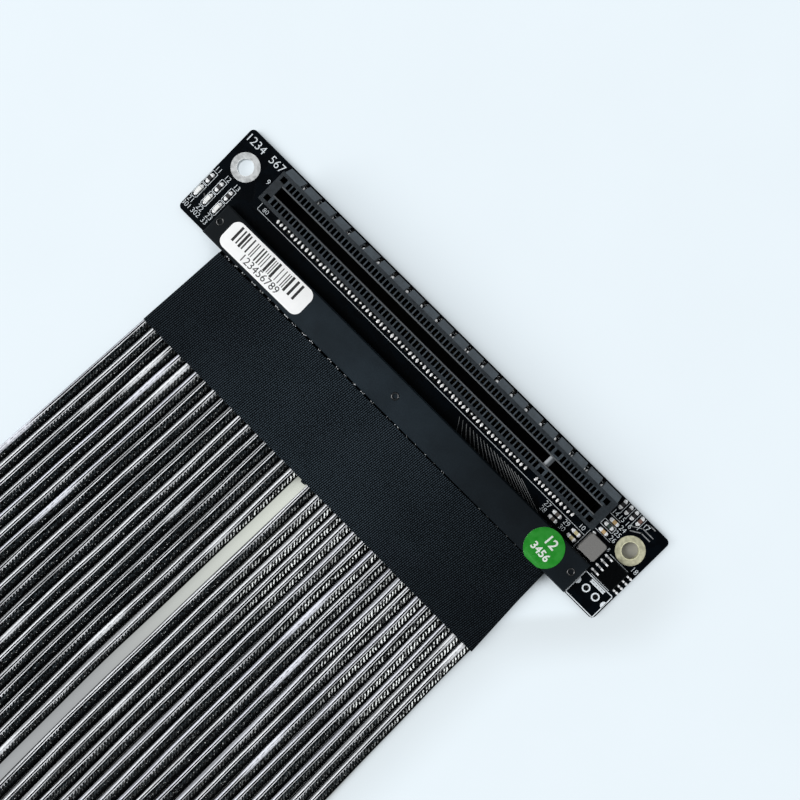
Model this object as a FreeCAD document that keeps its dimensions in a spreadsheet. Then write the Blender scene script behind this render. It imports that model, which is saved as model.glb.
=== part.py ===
"""Card-edge extension cable: a slot on a small board, 36 flat shielded cables and a card-edge plug.

X runs along the slot, Y from the cables towards the slot, Z is up. The origin lies on the resting
surface, under the middle of the socket board. Sizes are millimetres.
"""
import FreeCAD
import Part
import math
import os

import Sketcher

Vector = FreeCAD.Vector

SIZES = [
    # socket board and its screw holes
    ("board_length", 116.0),
    ("board_width", 21.6),
    ("board_thick", 1.6),
    ("board_corner", 1.0),
    ("screw_reach", 53.6),
    ("screw_inset", 6.7),
    ("screw_hole", 3.5),
    # two pin holes of the power header's empty place
    ("header_hole", 1.0),
    ("header_place", 54.02),
    ("header_pitch", 2.54),
    ("header_inset", 18.0),
    # card slot: its line is measured from the board's slot-side edge
    ("slot_inset", 5.37),
    ("housing_shift", -0.7),
    ("housing_length", 89.0),
    ("housing_width", 7.06),
    ("housing_height", 11.25),
    ("card_gap", 2.0),
    ("card_length", 85.3),
    ("card_depth", 8.9),
    ("lead_in", 0.22),
    ("key_width", 1.25),
    ("key_drop", 0.5),
    ("tail_gap_inner", 1.2),
    ("tail_gap_height", 0.35),
    ("tail_gap_length", 85.6),
    # sloped ledges along the slot-side wall, heights above the board
    ("ledge_reach", 4.98),
    ("ledge_top", 9.6),
    ("ledge_edge", 7.4),
    ("ledge_under", 6.2),
    ("ledge_pitch", 4.0),
    ("ledge_gap", 1.0),
    ("ledge_gap_count", 21),
    # contacts: two groups either side of the key
    ("row_shift", -0.907),
    ("contact_pitch", 1.0),
    ("long_count", 71),
    ("short_count", 11),
    ("row_reach", 41.5),
    ("key_place", 30.0),
    ("pocket_width", 0.68),
    ("pocket_inner", 1.4),
    ("pocket_outer", 2.75),
    ("end_hole_width", 1.15),
    ("end_hole_inner", 1.72),
    ("end_hole_outer", 2.82),
    ("end_hole_depth", 3.0),
    ("left_hole_place", -43.05),
    ("right_hole_place", 42.85),
    ("contact_width", 0.4),
    ("contact_thick", 0.2),
    ("contact_place", 1.75),
    ("contact_height", 8.6),
    ("tail_reach", 4.9),
    # strips over the solder joints, at both ends
    ("cover_left", -50.4),
    ("cover_right", 49.9),
    ("cover_width", 7.4),
    ("cover_height", 2.4),
    ("cover_edge", 0.3),
    ("cover_wall", 0.8),
    ("mouth_left", -46.0),
    ("mouth_right", 45.0),
    ("mouth_height", 1.75),
    ("mark_diameter", 1.75),
    ("mark_depth", 0.3),
    ("mark_inset", 17.75),
    ("mark_left", -49.2),
    ("mark_middle", -0.45),
    ("mark_right", 48.1),
    # paper on the strip
    ("paper_thick", 0.1),
    ("label_length", 21.75),
    ("label_width", 6.15),
    ("label_corner", 1.7),
    ("label_x", -36.18),
    ("label_inset", 17.78),
    ("label_turn", 0.6),
    ("sticker_diameter", 8.2),
    ("sticker_x", 41.05),
    ("sticker_inset", 18.12),
    # chips and regulator, insets from the slot-side edge
    ("chip_length", 1.6),
    ("chip_width", 0.8),
    ("chip_height", 0.55),
    ("led_length", 2.0),
    ("led_height", 0.65),
    ("led_inset", 16.4),
    ("led_resistor_inset", 13.15),
    ("led_first", -57.2),
    ("led_pitch", 2.58),
    ("inductor_side", 4.2),
    ("inductor_height", 2.0),
    ("inductor_corner", 0.35),
    ("inductor_x", 47.7),
    ("inductor_inset", 11.4),
    ("regulator_width", 3.9),
    ("regulator_length", 4.9),
    ("regulator_height", 1.5),
    ("regulator_lift", 0.15),
    ("regulator_edge", 0.2),
    ("regulator_x", 54.45),
    ("regulator_inset", 12.55),
    ("lead_pitch", 1.27),
    ("lead_width", 0.36),
    ("lead_thick", 0.2),
    ("lead_reach", 3.05),
    # flat cables
    ("cables_per_group", 18),
    ("cable_width", 2.3),
    ("cable_height", 1.5),
    ("cable_flat", 1.2),
    ("tip_width", 1.5),
    ("tip_length", 1.1),
    ("tip_height", 0.9),
    # woven tape round the cables
    ("tape_wall", 0.3),
    ("tape_play", 0.05),
    ("tape_start", 0.15),
    ("tape_end", 21.1),
    # plug board: a plain board with a card edge
    ("cover_to_cover", 200.8),
    ("plug_left", -51.0),
    ("plug_right", 50.4),
    ("plug_body", 22.0),
    ("tongue_reach", 42.6),
    ("tongue_depth", 8.25),
    ("tongue_edge", 0.4),
    ("notch_width", 1.9),
    ("notch_depth", 7.65),
]

# Places of the small chips on the socket board: x, inset from the slot-side edge, turn in degrees.
CAPACITORS = [
    (47.25, 7.75, 0),
    (47.45, 4.9, 0),
    (50.85, 1.25, 90),
    (38.5, 11.75, 0),
    (38.5, 13.0, 0),
    (43.65, 11.7, 0),
    (43.65, 13.05, 0),
]
RESISTORS = [(47.25, 6.2, 0), (46.15, 1.25, 90), (47.75, 1.25, 90), (49.25, 1.25, 90)]

# Route of the cables: y and z of each station, then the x of the outer and inner cable of the
# left group and of the inner and outer cable of the right group.
CABLE_STATIONS = [
    (-5.7, 2.5, -43.75, -3.35, 1.44, 43.52),
    (-111.2, 0.3, -52.07, -5.58, -2.23, 46.4),
    (-216.7, 2.5, -43.75, -3.35, 1.44, 43.52),
]
ARC_SHARE = 0.45

doc = FreeCAD.newDocument("ExtensionCable")
sheet = doc.addObject("Spreadsheet::Sheet", "Sizes")
nodes = []


def fill_sheet():
    """Write every driving size into the sheet under its own name."""
    for row, (alias, value) in enumerate(SIZES, start=1):
        sheet.set(f"A{row}", alias)
        sheet.set(f"B{row}", str(value))
        sheet.setAlias(f"B{row}", alias)
    doc.recompute()


def size(expression):
    """Value of an expression of the sheet's names."""
    return float(sheet.evalExpression(expression))


def bind(item, **expressions):
    """Hold properties of an object at expressions of the sheet's names."""
    for name, expression in expressions.items():
        item.setExpression(name.replace("__", "."), sheet_names(expression))


def sheet_names(expression):
    """The expression with each of the sheet's names reached through the sheet."""
    words = expression.replace("(", " ( ").replace(")", " ) ").split()
    aliases = {alias for alias, _ in SIZES}
    return " ".join(f"Sizes.{word}" if word in aliases else word for word in words)


def keep(item, name):
    """Name a finished sub-part and list it for writing."""
    item.Label = name
    nodes.append(item)
    return item


def new_body(name):
    """An empty body for one sub-part."""
    return keep(doc.addObject("PartDesign::Body", "Body_" + name), name)


def new_sketch(body, name, role, lift="0"):
    """A sketch on one of the body's origin planes, lifted along the plane's normal."""
    sketch = body.newObject("Sketcher::SketchObject", name)
    plane = next(item for item in body.Origin.OriginFeatures if item.Role == role)
    sketch.AttachmentSupport = [(plane, "")]
    sketch.MapMode = "FlatFace"
    bind(sketch, AttachmentOffset__Base__z=lift)
    return sketch


def hold(sketch, kind, line, point, expression):
    """Hold one coordinate of a sketch point at an expression."""
    constraint = Sketcher.Constraint(kind, -1, 1, line, point, size(expression))
    index = sketch.addConstraint(constraint)
    sketch.setExpression(f"Constraints[{index}]", sheet_names(expression))


def add_outline(sketch, points):
    """A closed outline of straight lines through points given as pairs of expressions."""
    corners = [Vector(size(x), size(y), 0) for x, y in points]
    first = sketch.GeometryCount
    for start, end in zip(corners, corners[1:] + corners[:1]):
        sketch.addGeometry(Part.LineSegment(start, end), False)
    count = len(corners)
    for index in range(count):
        after = first + (index + 1) % count
        sketch.addConstraint(Sketcher.Constraint("Coincident", first + index, 2, after, 1))
    for index, (x, y) in enumerate(points):
        hold(sketch, "DistanceX", first + index, 1, x)
        hold(sketch, "DistanceY", first + index, 1, y)


def add_rectangle(sketch, left, right, low, high):
    """A rectangle between four expressions."""
    add_outline(sketch, [(left, low), (right, low), (right, high), (left, high)])


def add_circle(sketch, x, y, diameter):
    """A circle with its centre and diameter held at expressions."""
    centre = Vector(size(x), size(y), 0)
    circle = sketch.addGeometry(Part.Circle(centre, Vector(0, 0, 1), size(diameter) / 2), False)
    hold(sketch, "DistanceX", circle, 3, x)
    hold(sketch, "DistanceY", circle, 3, y)
    index = sketch.addConstraint(Sketcher.Constraint("Diameter", circle, size(diameter)))
    sketch.setExpression(f"Constraints[{index}]", sheet_names(diameter))


def add_pad(body, sketch, length, midplane=False):
    """A solid raised from a sketch."""
    pad = body.newObject("PartDesign::Pad", "Pad_" + sketch.Name)
    pad.Profile = sketch
    pad.Midplane = midplane
    bind(pad, Length=length)
    doc.recompute()
    return pad


def add_pocket(body, sketch, depth, reverse=False, midplane=False):
    """A cut sunk from a sketch, which has to take material away."""
    before = body.Shape.Volume
    pocket = body.newObject("PartDesign::Pocket", "Pocket_" + sketch.Name)
    pocket.Profile = sketch
    pocket.Reversed = reverse
    pocket.Midplane = midplane
    bind(pocket, Length=depth)
    doc.recompute()
    if body.Shape.Volume >= before:
        raise RuntimeError(f"{sketch.Name} cuts nothing")
    return pocket


def add_row(body, feature, count, pitch):
    """Repeat a cut along X."""
    row = body.newObject("PartDesign::LinearPattern", "Row_" + feature.Name)
    row.Originals = [feature]
    row.Direction = (feature.Profile[0], ["H_Axis"])
    bind(row, Length=f"( {count} - 1 ) * {pitch}", Occurrences=count)
    body.Tip = row
    doc.recompute()
    return row


def edges_where(shape, test):
    """Names of the edges whose two ends both pass a test."""
    found = []
    for index, edge in enumerate(shape.Edges, start=1):
        if len(edge.Vertexes) == 2 and all(test(vertex.Point) for vertex in edge.Vertexes):
            found.append(f"Edge{index}")
    return found


def add_edge_feature(body, kind, base, edges, **sizes):
    """A fillet or a chamfer on named edges of a feature."""
    feature = body.newObject("PartDesign::" + kind, kind + "_" + base.Name)
    feature.Base = (base, edges)
    bind(feature, **sizes)
    doc.recompute()
    return feature


def near(first, second):
    """Whether two lengths are the same."""
    return math.isclose(first, second, abs_tol=1e-4)


def upright(edge_ends):
    """Whether an edge stands straight up."""
    low, high = edge_ends
    return near(low.x, high.x) and near(low.y, high.y)


def upright_edges(shape):
    """Names of the straight upright edges of a plate."""
    found = []
    for index, edge in enumerate(shape.Edges, start=1):
        ends = [vertex.Point for vertex in edge.Vertexes]
        if len(ends) == 2 and upright(ends):
            found.append(f"Edge{index}")
    return found


def copies(shape, places):
    """Separate copies of a solid at a list of places."""
    return Part.makeCompound([shape.translated(place) for place in places])


def add_group(name, compound):
    """A sub-part of several like solids."""
    group = keep(doc.addObject("Part::Feature", "Group_" + name), name)
    group.Shape = compound
    group.Placement = FreeCAD.Placement()
    return group


def prism(points, direction):
    """A solid from a flat outline pushed along a direction."""
    return Part.Face(Part.makePolygon(points + points[:1])).extrude(direction)


def inset(distance):
    """Expression for Y at a distance from the board's slot-side edge."""
    return f"board_width / 2 - {distance}"


def make_socket_board():
    """Black circuit board with two screw holes and the two pin holes of a power header."""
    body = new_body("socket_board")
    sketch = new_sketch(body, "BoardOutline", "XY_Plane")
    add_rectangle(sketch, "- board_length / 2", "board_length / 2", "- board_width / 2", "board_width / 2")
    for side in ("-1", "1"):
        add_circle(sketch, f"{side} * screw_reach", inset("screw_inset"), "screw_hole")
        pin_place = f"header_place + {side} * header_pitch / 2"
        add_circle(sketch, pin_place, inset("header_inset"), "header_hole")
    pad = add_pad(body, sketch, "board_thick")
    add_edge_feature(body, "Fillet", pad, upright_edges(pad.Shape), Radius="board_corner")


def slot_line(offset="0"):
    """Expression for Y at an offset from the slot's middle line."""
    return f"board_width / 2 - slot_inset + {offset}"


def make_slot_housing():
    """Moulded slot: card gap with key, contact pockets in two rows, ledges along one wall."""
    body = new_body("slot_housing")
    top = "board_thick + housing_height"

    section = new_sketch(body, "HousingSection", "YZ_Plane", "housing_shift")
    add_rectangle(
        section, slot_line("- housing_width / 2"), slot_line("housing_width / 2"), "board_thick", top
    )
    add_pad(body, section, "housing_length", midplane=True)

    ledge = new_sketch(body, "LedgeSection", "YZ_Plane", "housing_shift")
    add_outline(
        ledge,
        [
            (slot_line("housing_width / 2 - lead_in"), "board_thick + ledge_under"),
            (slot_line("ledge_reach"), "board_thick + ledge_under + lead_in"),
            (slot_line("ledge_reach"), "board_thick + ledge_edge"),
            (slot_line("housing_width / 2"), "board_thick + ledge_top"),
            (slot_line("housing_width / 2 - lead_in"), "board_thick + ledge_top"),
        ],
    )
    add_pad(body, ledge, "housing_length", midplane=True)

    gap = new_sketch(body, "LedgeGap", "XY_Plane", "board_thick + ledge_top")
    first_gap = "housing_shift - ( ledge_gap_count - 1 ) * ledge_pitch / 2"
    add_rectangle(
        gap,
        first_gap + " - ledge_gap / 2",
        first_gap + " + ledge_gap / 2",
        slot_line("housing_width / 2"),
        slot_line("ledge_reach + lead_in"),
    )
    cut = add_pocket(body, gap, "ledge_top - ledge_under")
    add_row(body, cut, "ledge_gap_count", "ledge_pitch")

    tails = new_sketch(body, "TailGaps", "YZ_Plane", "housing_shift")
    for near_side, far_side in (
        ("- housing_width / 2", "- tail_gap_inner"),
        ("tail_gap_inner", "housing_width / 2"),
    ):
        add_rectangle(
            tails, slot_line(near_side), slot_line(far_side), "board_thick", "board_thick + tail_gap_height"
        )
    add_pocket(body, tails, "tail_gap_length", midplane=True)

    card = new_sketch(body, "CardGap", "XY_Plane", top)
    key = "( row_shift + key_place )"
    for left, right in (
        ("housing_shift - card_length / 2", key + " - key_width / 2"),
        (key + " + key_width / 2", "housing_shift + card_length / 2"),
    ):
        add_rectangle(card, left, right, slot_line("- card_gap / 2"), slot_line("card_gap / 2"))
    add_pocket(body, card, "card_depth")

    over_key = new_sketch(body, "OverKey", "XY_Plane", top)
    add_rectangle(
        over_key,
        key + " - key_width / 2",
        key + " + key_width / 2",
        slot_line("- card_gap / 2"),
        slot_line("card_gap / 2"),
    )
    lowered = add_pocket(body, over_key, "key_drop")

    middle = size(slot_line())
    half_gap = size("card_gap / 2")
    height = size(top)

    def along_gap(point):
        return near(point.z, height) and near(abs(point.y - middle), half_gap)

    long_edges = [
        name
        for name in edges_where(lowered.Shape, along_gap)
        if lowered.Shape.getElement(name).Length > half_gap * 2 + 1e-3
    ]
    add_edge_feature(body, "Chamfer", lowered, long_edges, Size="lead_in")

    holes = new_sketch(body, "EndHoles", "XY_Plane", top)
    for place in ("left_hole_place", "right_hole_place", "key_place"):
        for low, high in (("- end_hole_outer", "- end_hole_inner"), ("end_hole_inner", "end_hole_outer")):
            centre = f"row_shift + {place}"
            add_rectangle(
                holes,
                centre + " - end_hole_width / 2",
                centre + " + end_hole_width / 2",
                slot_line(low),
                slot_line(high),
            )
    add_pocket(body, holes, "end_hole_depth")

    for name, first, count in (
        ("LongPocket", "row_shift - row_reach", "long_count"),
        ("ShortPocket", "row_shift + row_reach - ( short_count - 1 ) * contact_pitch", "short_count"),
    ):
        pocket = new_sketch(body, name, "XY_Plane", top)
        for low, high in (("- pocket_outer", "- pocket_inner"), ("pocket_inner", "pocket_outer")):
            add_rectangle(
                pocket,
                first + " - pocket_width / 2",
                first + " + pocket_width / 2",
                slot_line(low),
                slot_line(high),
            )
        cut = add_pocket(body, pocket, "housing_height - tail_gap_height")
        add_row(body, cut, count, "contact_pitch")


def contact_places():
    """X of every contact of a row, from the long group's far end to the short group's."""
    start = size("row_shift - row_reach")
    end = size("row_shift + row_reach")
    pitch = size("contact_pitch")
    long_row = [start + pitch * step for step in range(int(size("long_count")))]
    short_row = [end - pitch * step for step in reversed(range(int(size("short_count"))))]
    return long_row + short_row


def make_slot_contacts(name, side, places):
    """Spring leaves standing in the pockets of one row, each with a flat solder tail outwards."""
    width = size("contact_width")
    thick = size("contact_thick")
    floor = size("board_thick")
    middle = size(slot_line())
    leaf = size("contact_place")
    reach = size("tail_reach")
    profile = [
        (leaf, floor),
        (reach, floor),
        (reach, floor + thick),
        (leaf + thick, floor + thick),
        (leaf + thick, floor + size("contact_height")),
        (leaf, floor + size("contact_height")),
    ]
    points = [Vector(-width / 2, middle + side * y, z) for y, z in profile]
    contact = prism(points, Vector(width, 0, 0))
    add_group(name, copies(contact, [Vector(x, 0, 0) for x in places]))


def make_chip(label, x, y, length, turn=0, height="chip_height"):
    """One small chip flat on the board, long side along X before its turn."""
    chip = doc.addObject("Part::Box", label)
    bind(chip, Length=length, Width="chip_width", Height=height)
    turned = FreeCAD.Rotation(Vector(0, 0, 1), turn)
    corner = turned.multVec(Vector(-size(length) / 2, -size("chip_width") / 2, 0))
    chip.Placement = FreeCAD.Placement(Vector(x, y, size("board_thick")) + corner, turned)
    return chip


def make_chips(name, length, places, height="chip_height"):
    """A group of like chips at their places on the socket board."""
    edge = size("board_width / 2")
    chips = [
        make_chip(f"{name}_{number}", x, edge - depth, length, turn, height)
        for number, (x, depth, turn) in enumerate(places, start=1)
    ]
    group = keep(doc.addObject("Part::Compound", "Group_" + name), name)
    group.Links = chips


def make_led_column():
    """Three diodes in a row across the board's end, each with its resistor beside it."""
    places = [size("led_first") + size("led_pitch") * step for step in range(3)]
    make_chips("status_leds", "led_length", [(x, size("led_inset"), 90) for x in places], "led_height")
    make_chips("led_resistors", "chip_length", [(x, size("led_resistor_inset"), 90) for x in places])


def make_power_inductor():
    """Square moulded power inductor with cut corners."""
    body = new_body("power_inductor")
    sketch = new_sketch(body, "InductorOutline", "XY_Plane", "board_thick")
    half = "inductor_side / 2"
    middle = inset("inductor_inset")
    add_rectangle(
        sketch, f"inductor_x - {half}", f"inductor_x + {half}", f"{middle} - {half}", f"{middle} + {half}"
    )
    pad = add_pad(body, sketch, "inductor_height")
    add_edge_feature(body, "Chamfer", pad, upright_edges(pad.Shape), Size="inductor_corner")


def make_regulator():
    """Eight-lead regulator: moulded body with bevelled top, and its leads."""
    body = new_body("regulator_ic")
    sketch = new_sketch(body, "RegulatorOutline", "XY_Plane", "board_thick + regulator_lift")
    middle = inset("regulator_inset")
    add_rectangle(
        sketch,
        "regulator_x - regulator_width / 2",
        "regulator_x + regulator_width / 2",
        f"{middle} - regulator_length / 2",
        f"{middle} + regulator_length / 2",
    )
    pad = add_pad(body, sketch, "regulator_height")
    top = size("board_thick + regulator_lift + regulator_height")
    rim = edges_where(pad.Shape, lambda point: near(point.z, top))
    add_edge_feature(body, "Chamfer", pad, rim, Size="regulator_edge")

    wall = size("regulator_width / 2")
    reach = size("lead_reach")
    thick = size("lead_thick")
    floor = size("board_thick")
    shoulder = size("board_thick + regulator_lift + regulator_height / 2")
    knee = (wall + reach) / 2 - thick
    profile = [
        (wall, shoulder),
        (knee, shoulder),
        (knee, floor),
        (reach, floor),
        (reach, floor + thick),
        (knee + thick, floor + thick),
        (knee + thick, shoulder + thick),
        (wall, shoulder + thick),
    ]
    width = size("lead_width")
    centre = Vector(size("regulator_x"), size(middle), 0)
    leads = []
    for side in (-1, 1):
        points = [centre + Vector(side * x, -width / 2, z) for x, z in profile]
        lead = prism(points, Vector(0, width, 0))
        leads += [lead.translated(Vector(0, (step - 1.5) * size("lead_pitch"), 0)) for step in range(4)]
    add_group("regulator_leads", Part.makeCompound(leads))


def make_cover(name, near_edge, far_edge, wall_edge, marked):
    """Moulded strip over the solder joints, hollow below and open towards the cables."""
    body = new_body(name)
    outline = new_sketch(body, name + "_outline", "XY_Plane", "board_thick")
    add_rectangle(outline, "cover_left", "cover_right", near_edge, far_edge)
    pad = add_pad(body, outline, "cover_height")
    top = size("board_thick + cover_height")
    rim = edges_where(pad.Shape, lambda point: near(point.z, top))
    add_edge_feature(body, "Chamfer", pad, rim, Size="cover_edge")

    hollow = new_sketch(body, name + "_hollow", "XY_Plane", "board_thick")
    add_rectangle(hollow, "mouth_left", "mouth_right", *wall_edge)
    add_pocket(body, hollow, "mouth_height", reverse=True)

    if marked:
        marks = new_sketch(body, name + "_marks", "XY_Plane", "board_thick + cover_height")
        for place in ("mark_left", "mark_middle", "mark_right"):
            add_circle(marks, place, inset("mark_inset"), "mark_diameter")
        add_pocket(body, marks, "mark_depth")


def make_covers():
    """The strip on the socket board and its mirror image on the plug board."""
    edge = "- board_width / 2"
    far = f"{edge} - cover_to_cover"
    make_cover(
        "socket_cover",
        edge,
        f"{edge} + cover_width",
        (edge, f"{edge} + cover_width - cover_wall"),
        marked=True,
    )
    make_cover(
        "plug_cover",
        f"{far} - cover_width",
        far,
        (f"{far} - cover_width + cover_wall", far),
        marked=False,
    )


def make_papers():
    """Rounded label and round sticker on the strip; the sticker stops at the strip's edge."""
    top = "board_thick + cover_height"
    label = new_body("barcode_label")
    outline = new_sketch(label, "LabelOutline", "XY_Plane")
    add_rectangle(
        outline, "- label_length / 2", "label_length / 2", "- label_width / 2", "label_width / 2"
    )
    pad = add_pad(label, outline, "paper_thick")
    add_edge_feature(label, "Fillet", pad, upright_edges(pad.Shape), Radius="label_corner")
    label.Placement.Rotation = FreeCAD.Rotation(Vector(0, 0, 1), size("label_turn"))
    bind(
        label,
        Placement__Base__x="label_x",
        Placement__Base__y=inset("label_inset"),
        Placement__Base__z=top,
    )

    disc = doc.addObject("Part::Cylinder", "StickerDisc")
    bind(
        disc,
        Radius="sticker_diameter / 2",
        Height="paper_thick",
        Placement__Base__x="sticker_x",
        Placement__Base__y=inset("sticker_inset"),
        Placement__Base__z=top,
    )
    strip = doc.addObject("Part::Box", "StickerRoom")
    bind(
        strip,
        Length="board_length",
        Width="board_width",
        Height="housing_height",
        Placement__Base__x="- board_length / 2",
        Placement__Base__y="- board_width / 2",
    )
    sticker = keep(doc.addObject("Part::Common", "RoundSticker"), "round_sticker")
    sticker.Base = disc
    sticker.Tool = strip


def cable_routes():
    """The route of every cable, shared out evenly between the two edges of its group."""
    count = int(size("cables_per_group"))
    routes = []
    for first, last in ((2, 3), (4, 5)):
        for step in range(count):
            share = step / (count - 1)
            points = []
            for station in CABLE_STATIONS:
                x = station[first] + share * (station[last] - station[first])
                points.append(Vector(x, station[0], station[1]))
            routes.append(points)
    return routes


def rounded_path(points):
    """Straight runs joined by tangent arcs, and the radii of the arcs."""
    edges = []
    radii = []
    start = points[0]
    for before, corner, after in zip(points, points[1:], points[2:]):
        run_in = corner - before
        run_out = after - corner
        half_turn = run_in.getAngle(run_out) / 2
        tangent = ARC_SHARE * min(run_in.Length, run_out.Length)
        radius = tangent / math.tan(half_turn)
        run_in.normalize()
        run_out.normalize()
        inward = run_out - run_in
        inward.normalize()
        arc_start = corner - run_in * tangent
        arc_end = corner + run_out * tangent
        arc_middle = corner + inward * radius * (1 / math.cos(half_turn) - 1)
        edges.append(Part.LineSegment(start, arc_start).toShape())
        edges.append(Part.Arc(arc_start, arc_middle, arc_end).toShape())
        radii.append(radius)
        start = arc_end
    edges.append(Part.LineSegment(start, points[-1]).toShape())
    return Part.Wire(edges), radii


def make_cables():
    """Flat shielded cables of six-sided section from board to board."""
    half_width = size("cable_width / 2")
    half_height = size("cable_height / 2")
    half_flat = size("cable_flat / 2")
    outline = [
        (-half_width, 0),
        (-half_flat, -half_height),
        (half_flat, -half_height),
        (half_width, 0),
        (half_flat, half_height),
        (-half_flat, half_height),
    ]
    area = (half_width + half_flat) * size("cable_height")
    for number, points in enumerate(cable_routes(), start=1):
        path, radii = rounded_path(points)
        run = points[1] - points[0]
        turn = FreeCAD.Rotation(Vector(0, -1, 0), run)
        section = [points[0] + turn.multVec(Vector(x, 0, z)) for x, z in outline]
        tube = path.makePipeShell([Part.makePolygon(section + section[:1])], True, False)
        name = f"cable_{number:02d}"
        if abs(tube.Volume / (area * path.Length) - 1) > 0.01:
            raise RuntimeError(f"{name} has the wrong volume")
        print(name, "length", round(path.Length, 1), "radii", [round(radius) for radius in radii])
        add_group(name, tube)


def make_wire_tips(name, end_index, next_index, side):
    """Soldered tips of the stripped cables, each flat against its cable's end face."""
    floor = size("board_thick")
    length = side * size("tip_length")
    height = size("tip_height")
    tips = []
    for points in cable_routes():
        end = points[end_index]
        run = end - points[next_index]
        across = Vector(-run.y, run.x, 0)
        across.multiply(size("tip_width") / across.Length)
        corner = end - across / 2
        slope = run.z / run.y
        foot = (end.z - floor) * slope
        head = (end.z - floor - height) * slope
        profile = [(foot, 0), (foot + length, 0), (foot + length, height / 3), (head, height)]
        outline = [Vector(corner.x, corner.y + y, floor + z) for y, z in profile]
        tips.append(prism(outline, across))
    add_group(name, Part.makeCompound(tips))


def make_tape(name, from_plug):
    """Sleeve of woven tape round all the cables, following their drop and their fan."""
    wall = size("tape_wall")
    half_width = size("cable_width / 2 + tape_play")
    half_height = size("cable_height / 2 + tape_play")
    first, middle = CABLE_STATIONS[:2]
    outer = []
    inner = []
    for place in ("tape_start", "tape_end"):
        y = size(f"- board_width / 2 - {place}")
        share = (y - first[0]) / (middle[0] - first[0])
        _, height, left, _, _, right = [a + share * (b - a) for a, b in zip(first, middle)]
        if from_plug:
            y = size("- board_width - cover_to_cover") - y
        for loops, skin in ((outer, wall), (inner, 0)):
            west = left - half_width - skin
            east = right + half_width + skin
            low = height - half_height - skin
            high = height + half_height + skin
            corners = [Vector(x, y, z) for x, z in ((west, low), (east, low), (east, high), (west, high))]
            loops.append(Part.makePolygon(corners + corners[:1]))
    sleeve = Part.makeLoft(outer, True, True).cut(Part.makeLoft(inner, True, True))
    add_group(name, sleeve)


def make_plug_board():
    """Far board with a card edge: a tongue with bevelled rim and the key's notch."""
    body = new_body("plug_board")
    sketch = new_sketch(body, "PlugOutline", "XY_Plane")
    cable_edge = "- board_width / 2 - cover_to_cover"
    shoulder = f"{cable_edge} - plug_body"
    tip = f"{shoulder} - tongue_depth"
    key = "row_shift + key_place"
    add_outline(
        sketch,
        [
            ("plug_left", cable_edge),
            ("plug_left", shoulder),
            ("row_shift - tongue_reach", shoulder),
            ("row_shift - tongue_reach", tip),
            (f"{key} - notch_width / 2", tip),
            (f"{key} - notch_width / 2", f"{tip} + notch_depth"),
            (f"{key} + notch_width / 2", f"{tip} + notch_depth"),
            (f"{key} + notch_width / 2", tip),
            ("row_shift + tongue_reach", tip),
            ("row_shift + tongue_reach", shoulder),
            ("plug_right", shoulder),
            ("plug_right", cable_edge),
        ],
    )
    pad = add_pad(body, sketch, "board_thick")
    front = size(tip)
    rim = [
        name
        for name in edges_where(pad.Shape, lambda point: near(point.y, front))
        if not upright([vertex.Point for vertex in pad.Shape.getElement(name).Vertexes])
    ]
    add_edge_feature(body, "Chamfer", pad, rim, Size="tongue_edge")


def check_and_write():
    """Stop on a failed object or shape, then write each sub-part to its own file."""
    doc.recompute()
    for item in doc.Objects:
        if {"Invalid", "Error"} & set(item.State):
            raise RuntimeError(f"{item.Label} failed: {item.State}")
    for item in nodes:
        if item.Shape.isNull() or not item.Shape.isValid():
            raise RuntimeError(f"{item.Label} has no valid shape")
    os.makedirs("parts", exist_ok=True)
    for item in nodes:
        item.Shape.exportStep(os.path.join("parts", item.Label + ".step"))
    print(len(nodes), "sub-parts written")


fill_sheet()
make_socket_board()
make_slot_housing()
make_slot_contacts("slot_contacts_a", -1, contact_places()[1:])
make_slot_contacts("slot_contacts_b", 1, contact_places())
make_led_column()
make_chips("chip_capacitors", "chip_length", CAPACITORS)
make_chips("chip_resistors", "chip_length", RESISTORS)
make_power_inductor()
make_regulator()
make_covers()
make_papers()
make_cables()
make_wire_tips("socket_wire_tips", 0, 1, side=1)
make_wire_tips("plug_wire_tips", -1, -2, side=-1)
make_tape("socket_tape", from_plug=False)
make_tape("plug_tape", from_plug=True)
make_plug_board()
check_and_write()
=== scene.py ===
"""Looks of a card-slot extension cable: black board and slot, strips, woven tape, flat cables and plug.

Named lengths are millimetres, and those of the panel are metres. Places on the socket board are given as
x and as the inset from the board's slot-side edge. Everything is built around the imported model, which is
loaded first.
"""
import math
import random

import bmesh
import bpy
import numpy as np
from bpy.props import FloatProperty, FloatVectorProperty, PointerProperty
from mathutils import Matrix, Vector


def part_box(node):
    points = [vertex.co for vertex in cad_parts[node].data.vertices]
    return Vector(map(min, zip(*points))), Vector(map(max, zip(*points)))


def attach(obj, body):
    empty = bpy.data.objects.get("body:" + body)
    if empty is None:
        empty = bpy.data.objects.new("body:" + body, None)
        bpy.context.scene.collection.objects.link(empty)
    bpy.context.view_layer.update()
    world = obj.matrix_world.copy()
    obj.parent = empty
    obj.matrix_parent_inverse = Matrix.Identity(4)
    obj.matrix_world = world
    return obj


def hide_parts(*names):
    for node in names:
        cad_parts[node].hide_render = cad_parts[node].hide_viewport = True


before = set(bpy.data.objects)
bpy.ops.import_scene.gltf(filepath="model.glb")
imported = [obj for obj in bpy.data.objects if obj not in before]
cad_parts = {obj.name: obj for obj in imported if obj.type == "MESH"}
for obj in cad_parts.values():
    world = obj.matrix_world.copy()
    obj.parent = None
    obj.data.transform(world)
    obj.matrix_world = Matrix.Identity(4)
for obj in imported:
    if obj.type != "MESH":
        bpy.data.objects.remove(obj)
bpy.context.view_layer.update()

bl_info = {
    "name": "Slot Extension Cable",
    "version": (1, 0, 0),
    "blender": (4, 5, 0),
    "location": "View3D > Sidebar > Cable",
    "description": "Dresses the extension cable: boards, slot, chips, strips, tape, cables and stage",
    "category": "Object",
}

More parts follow.
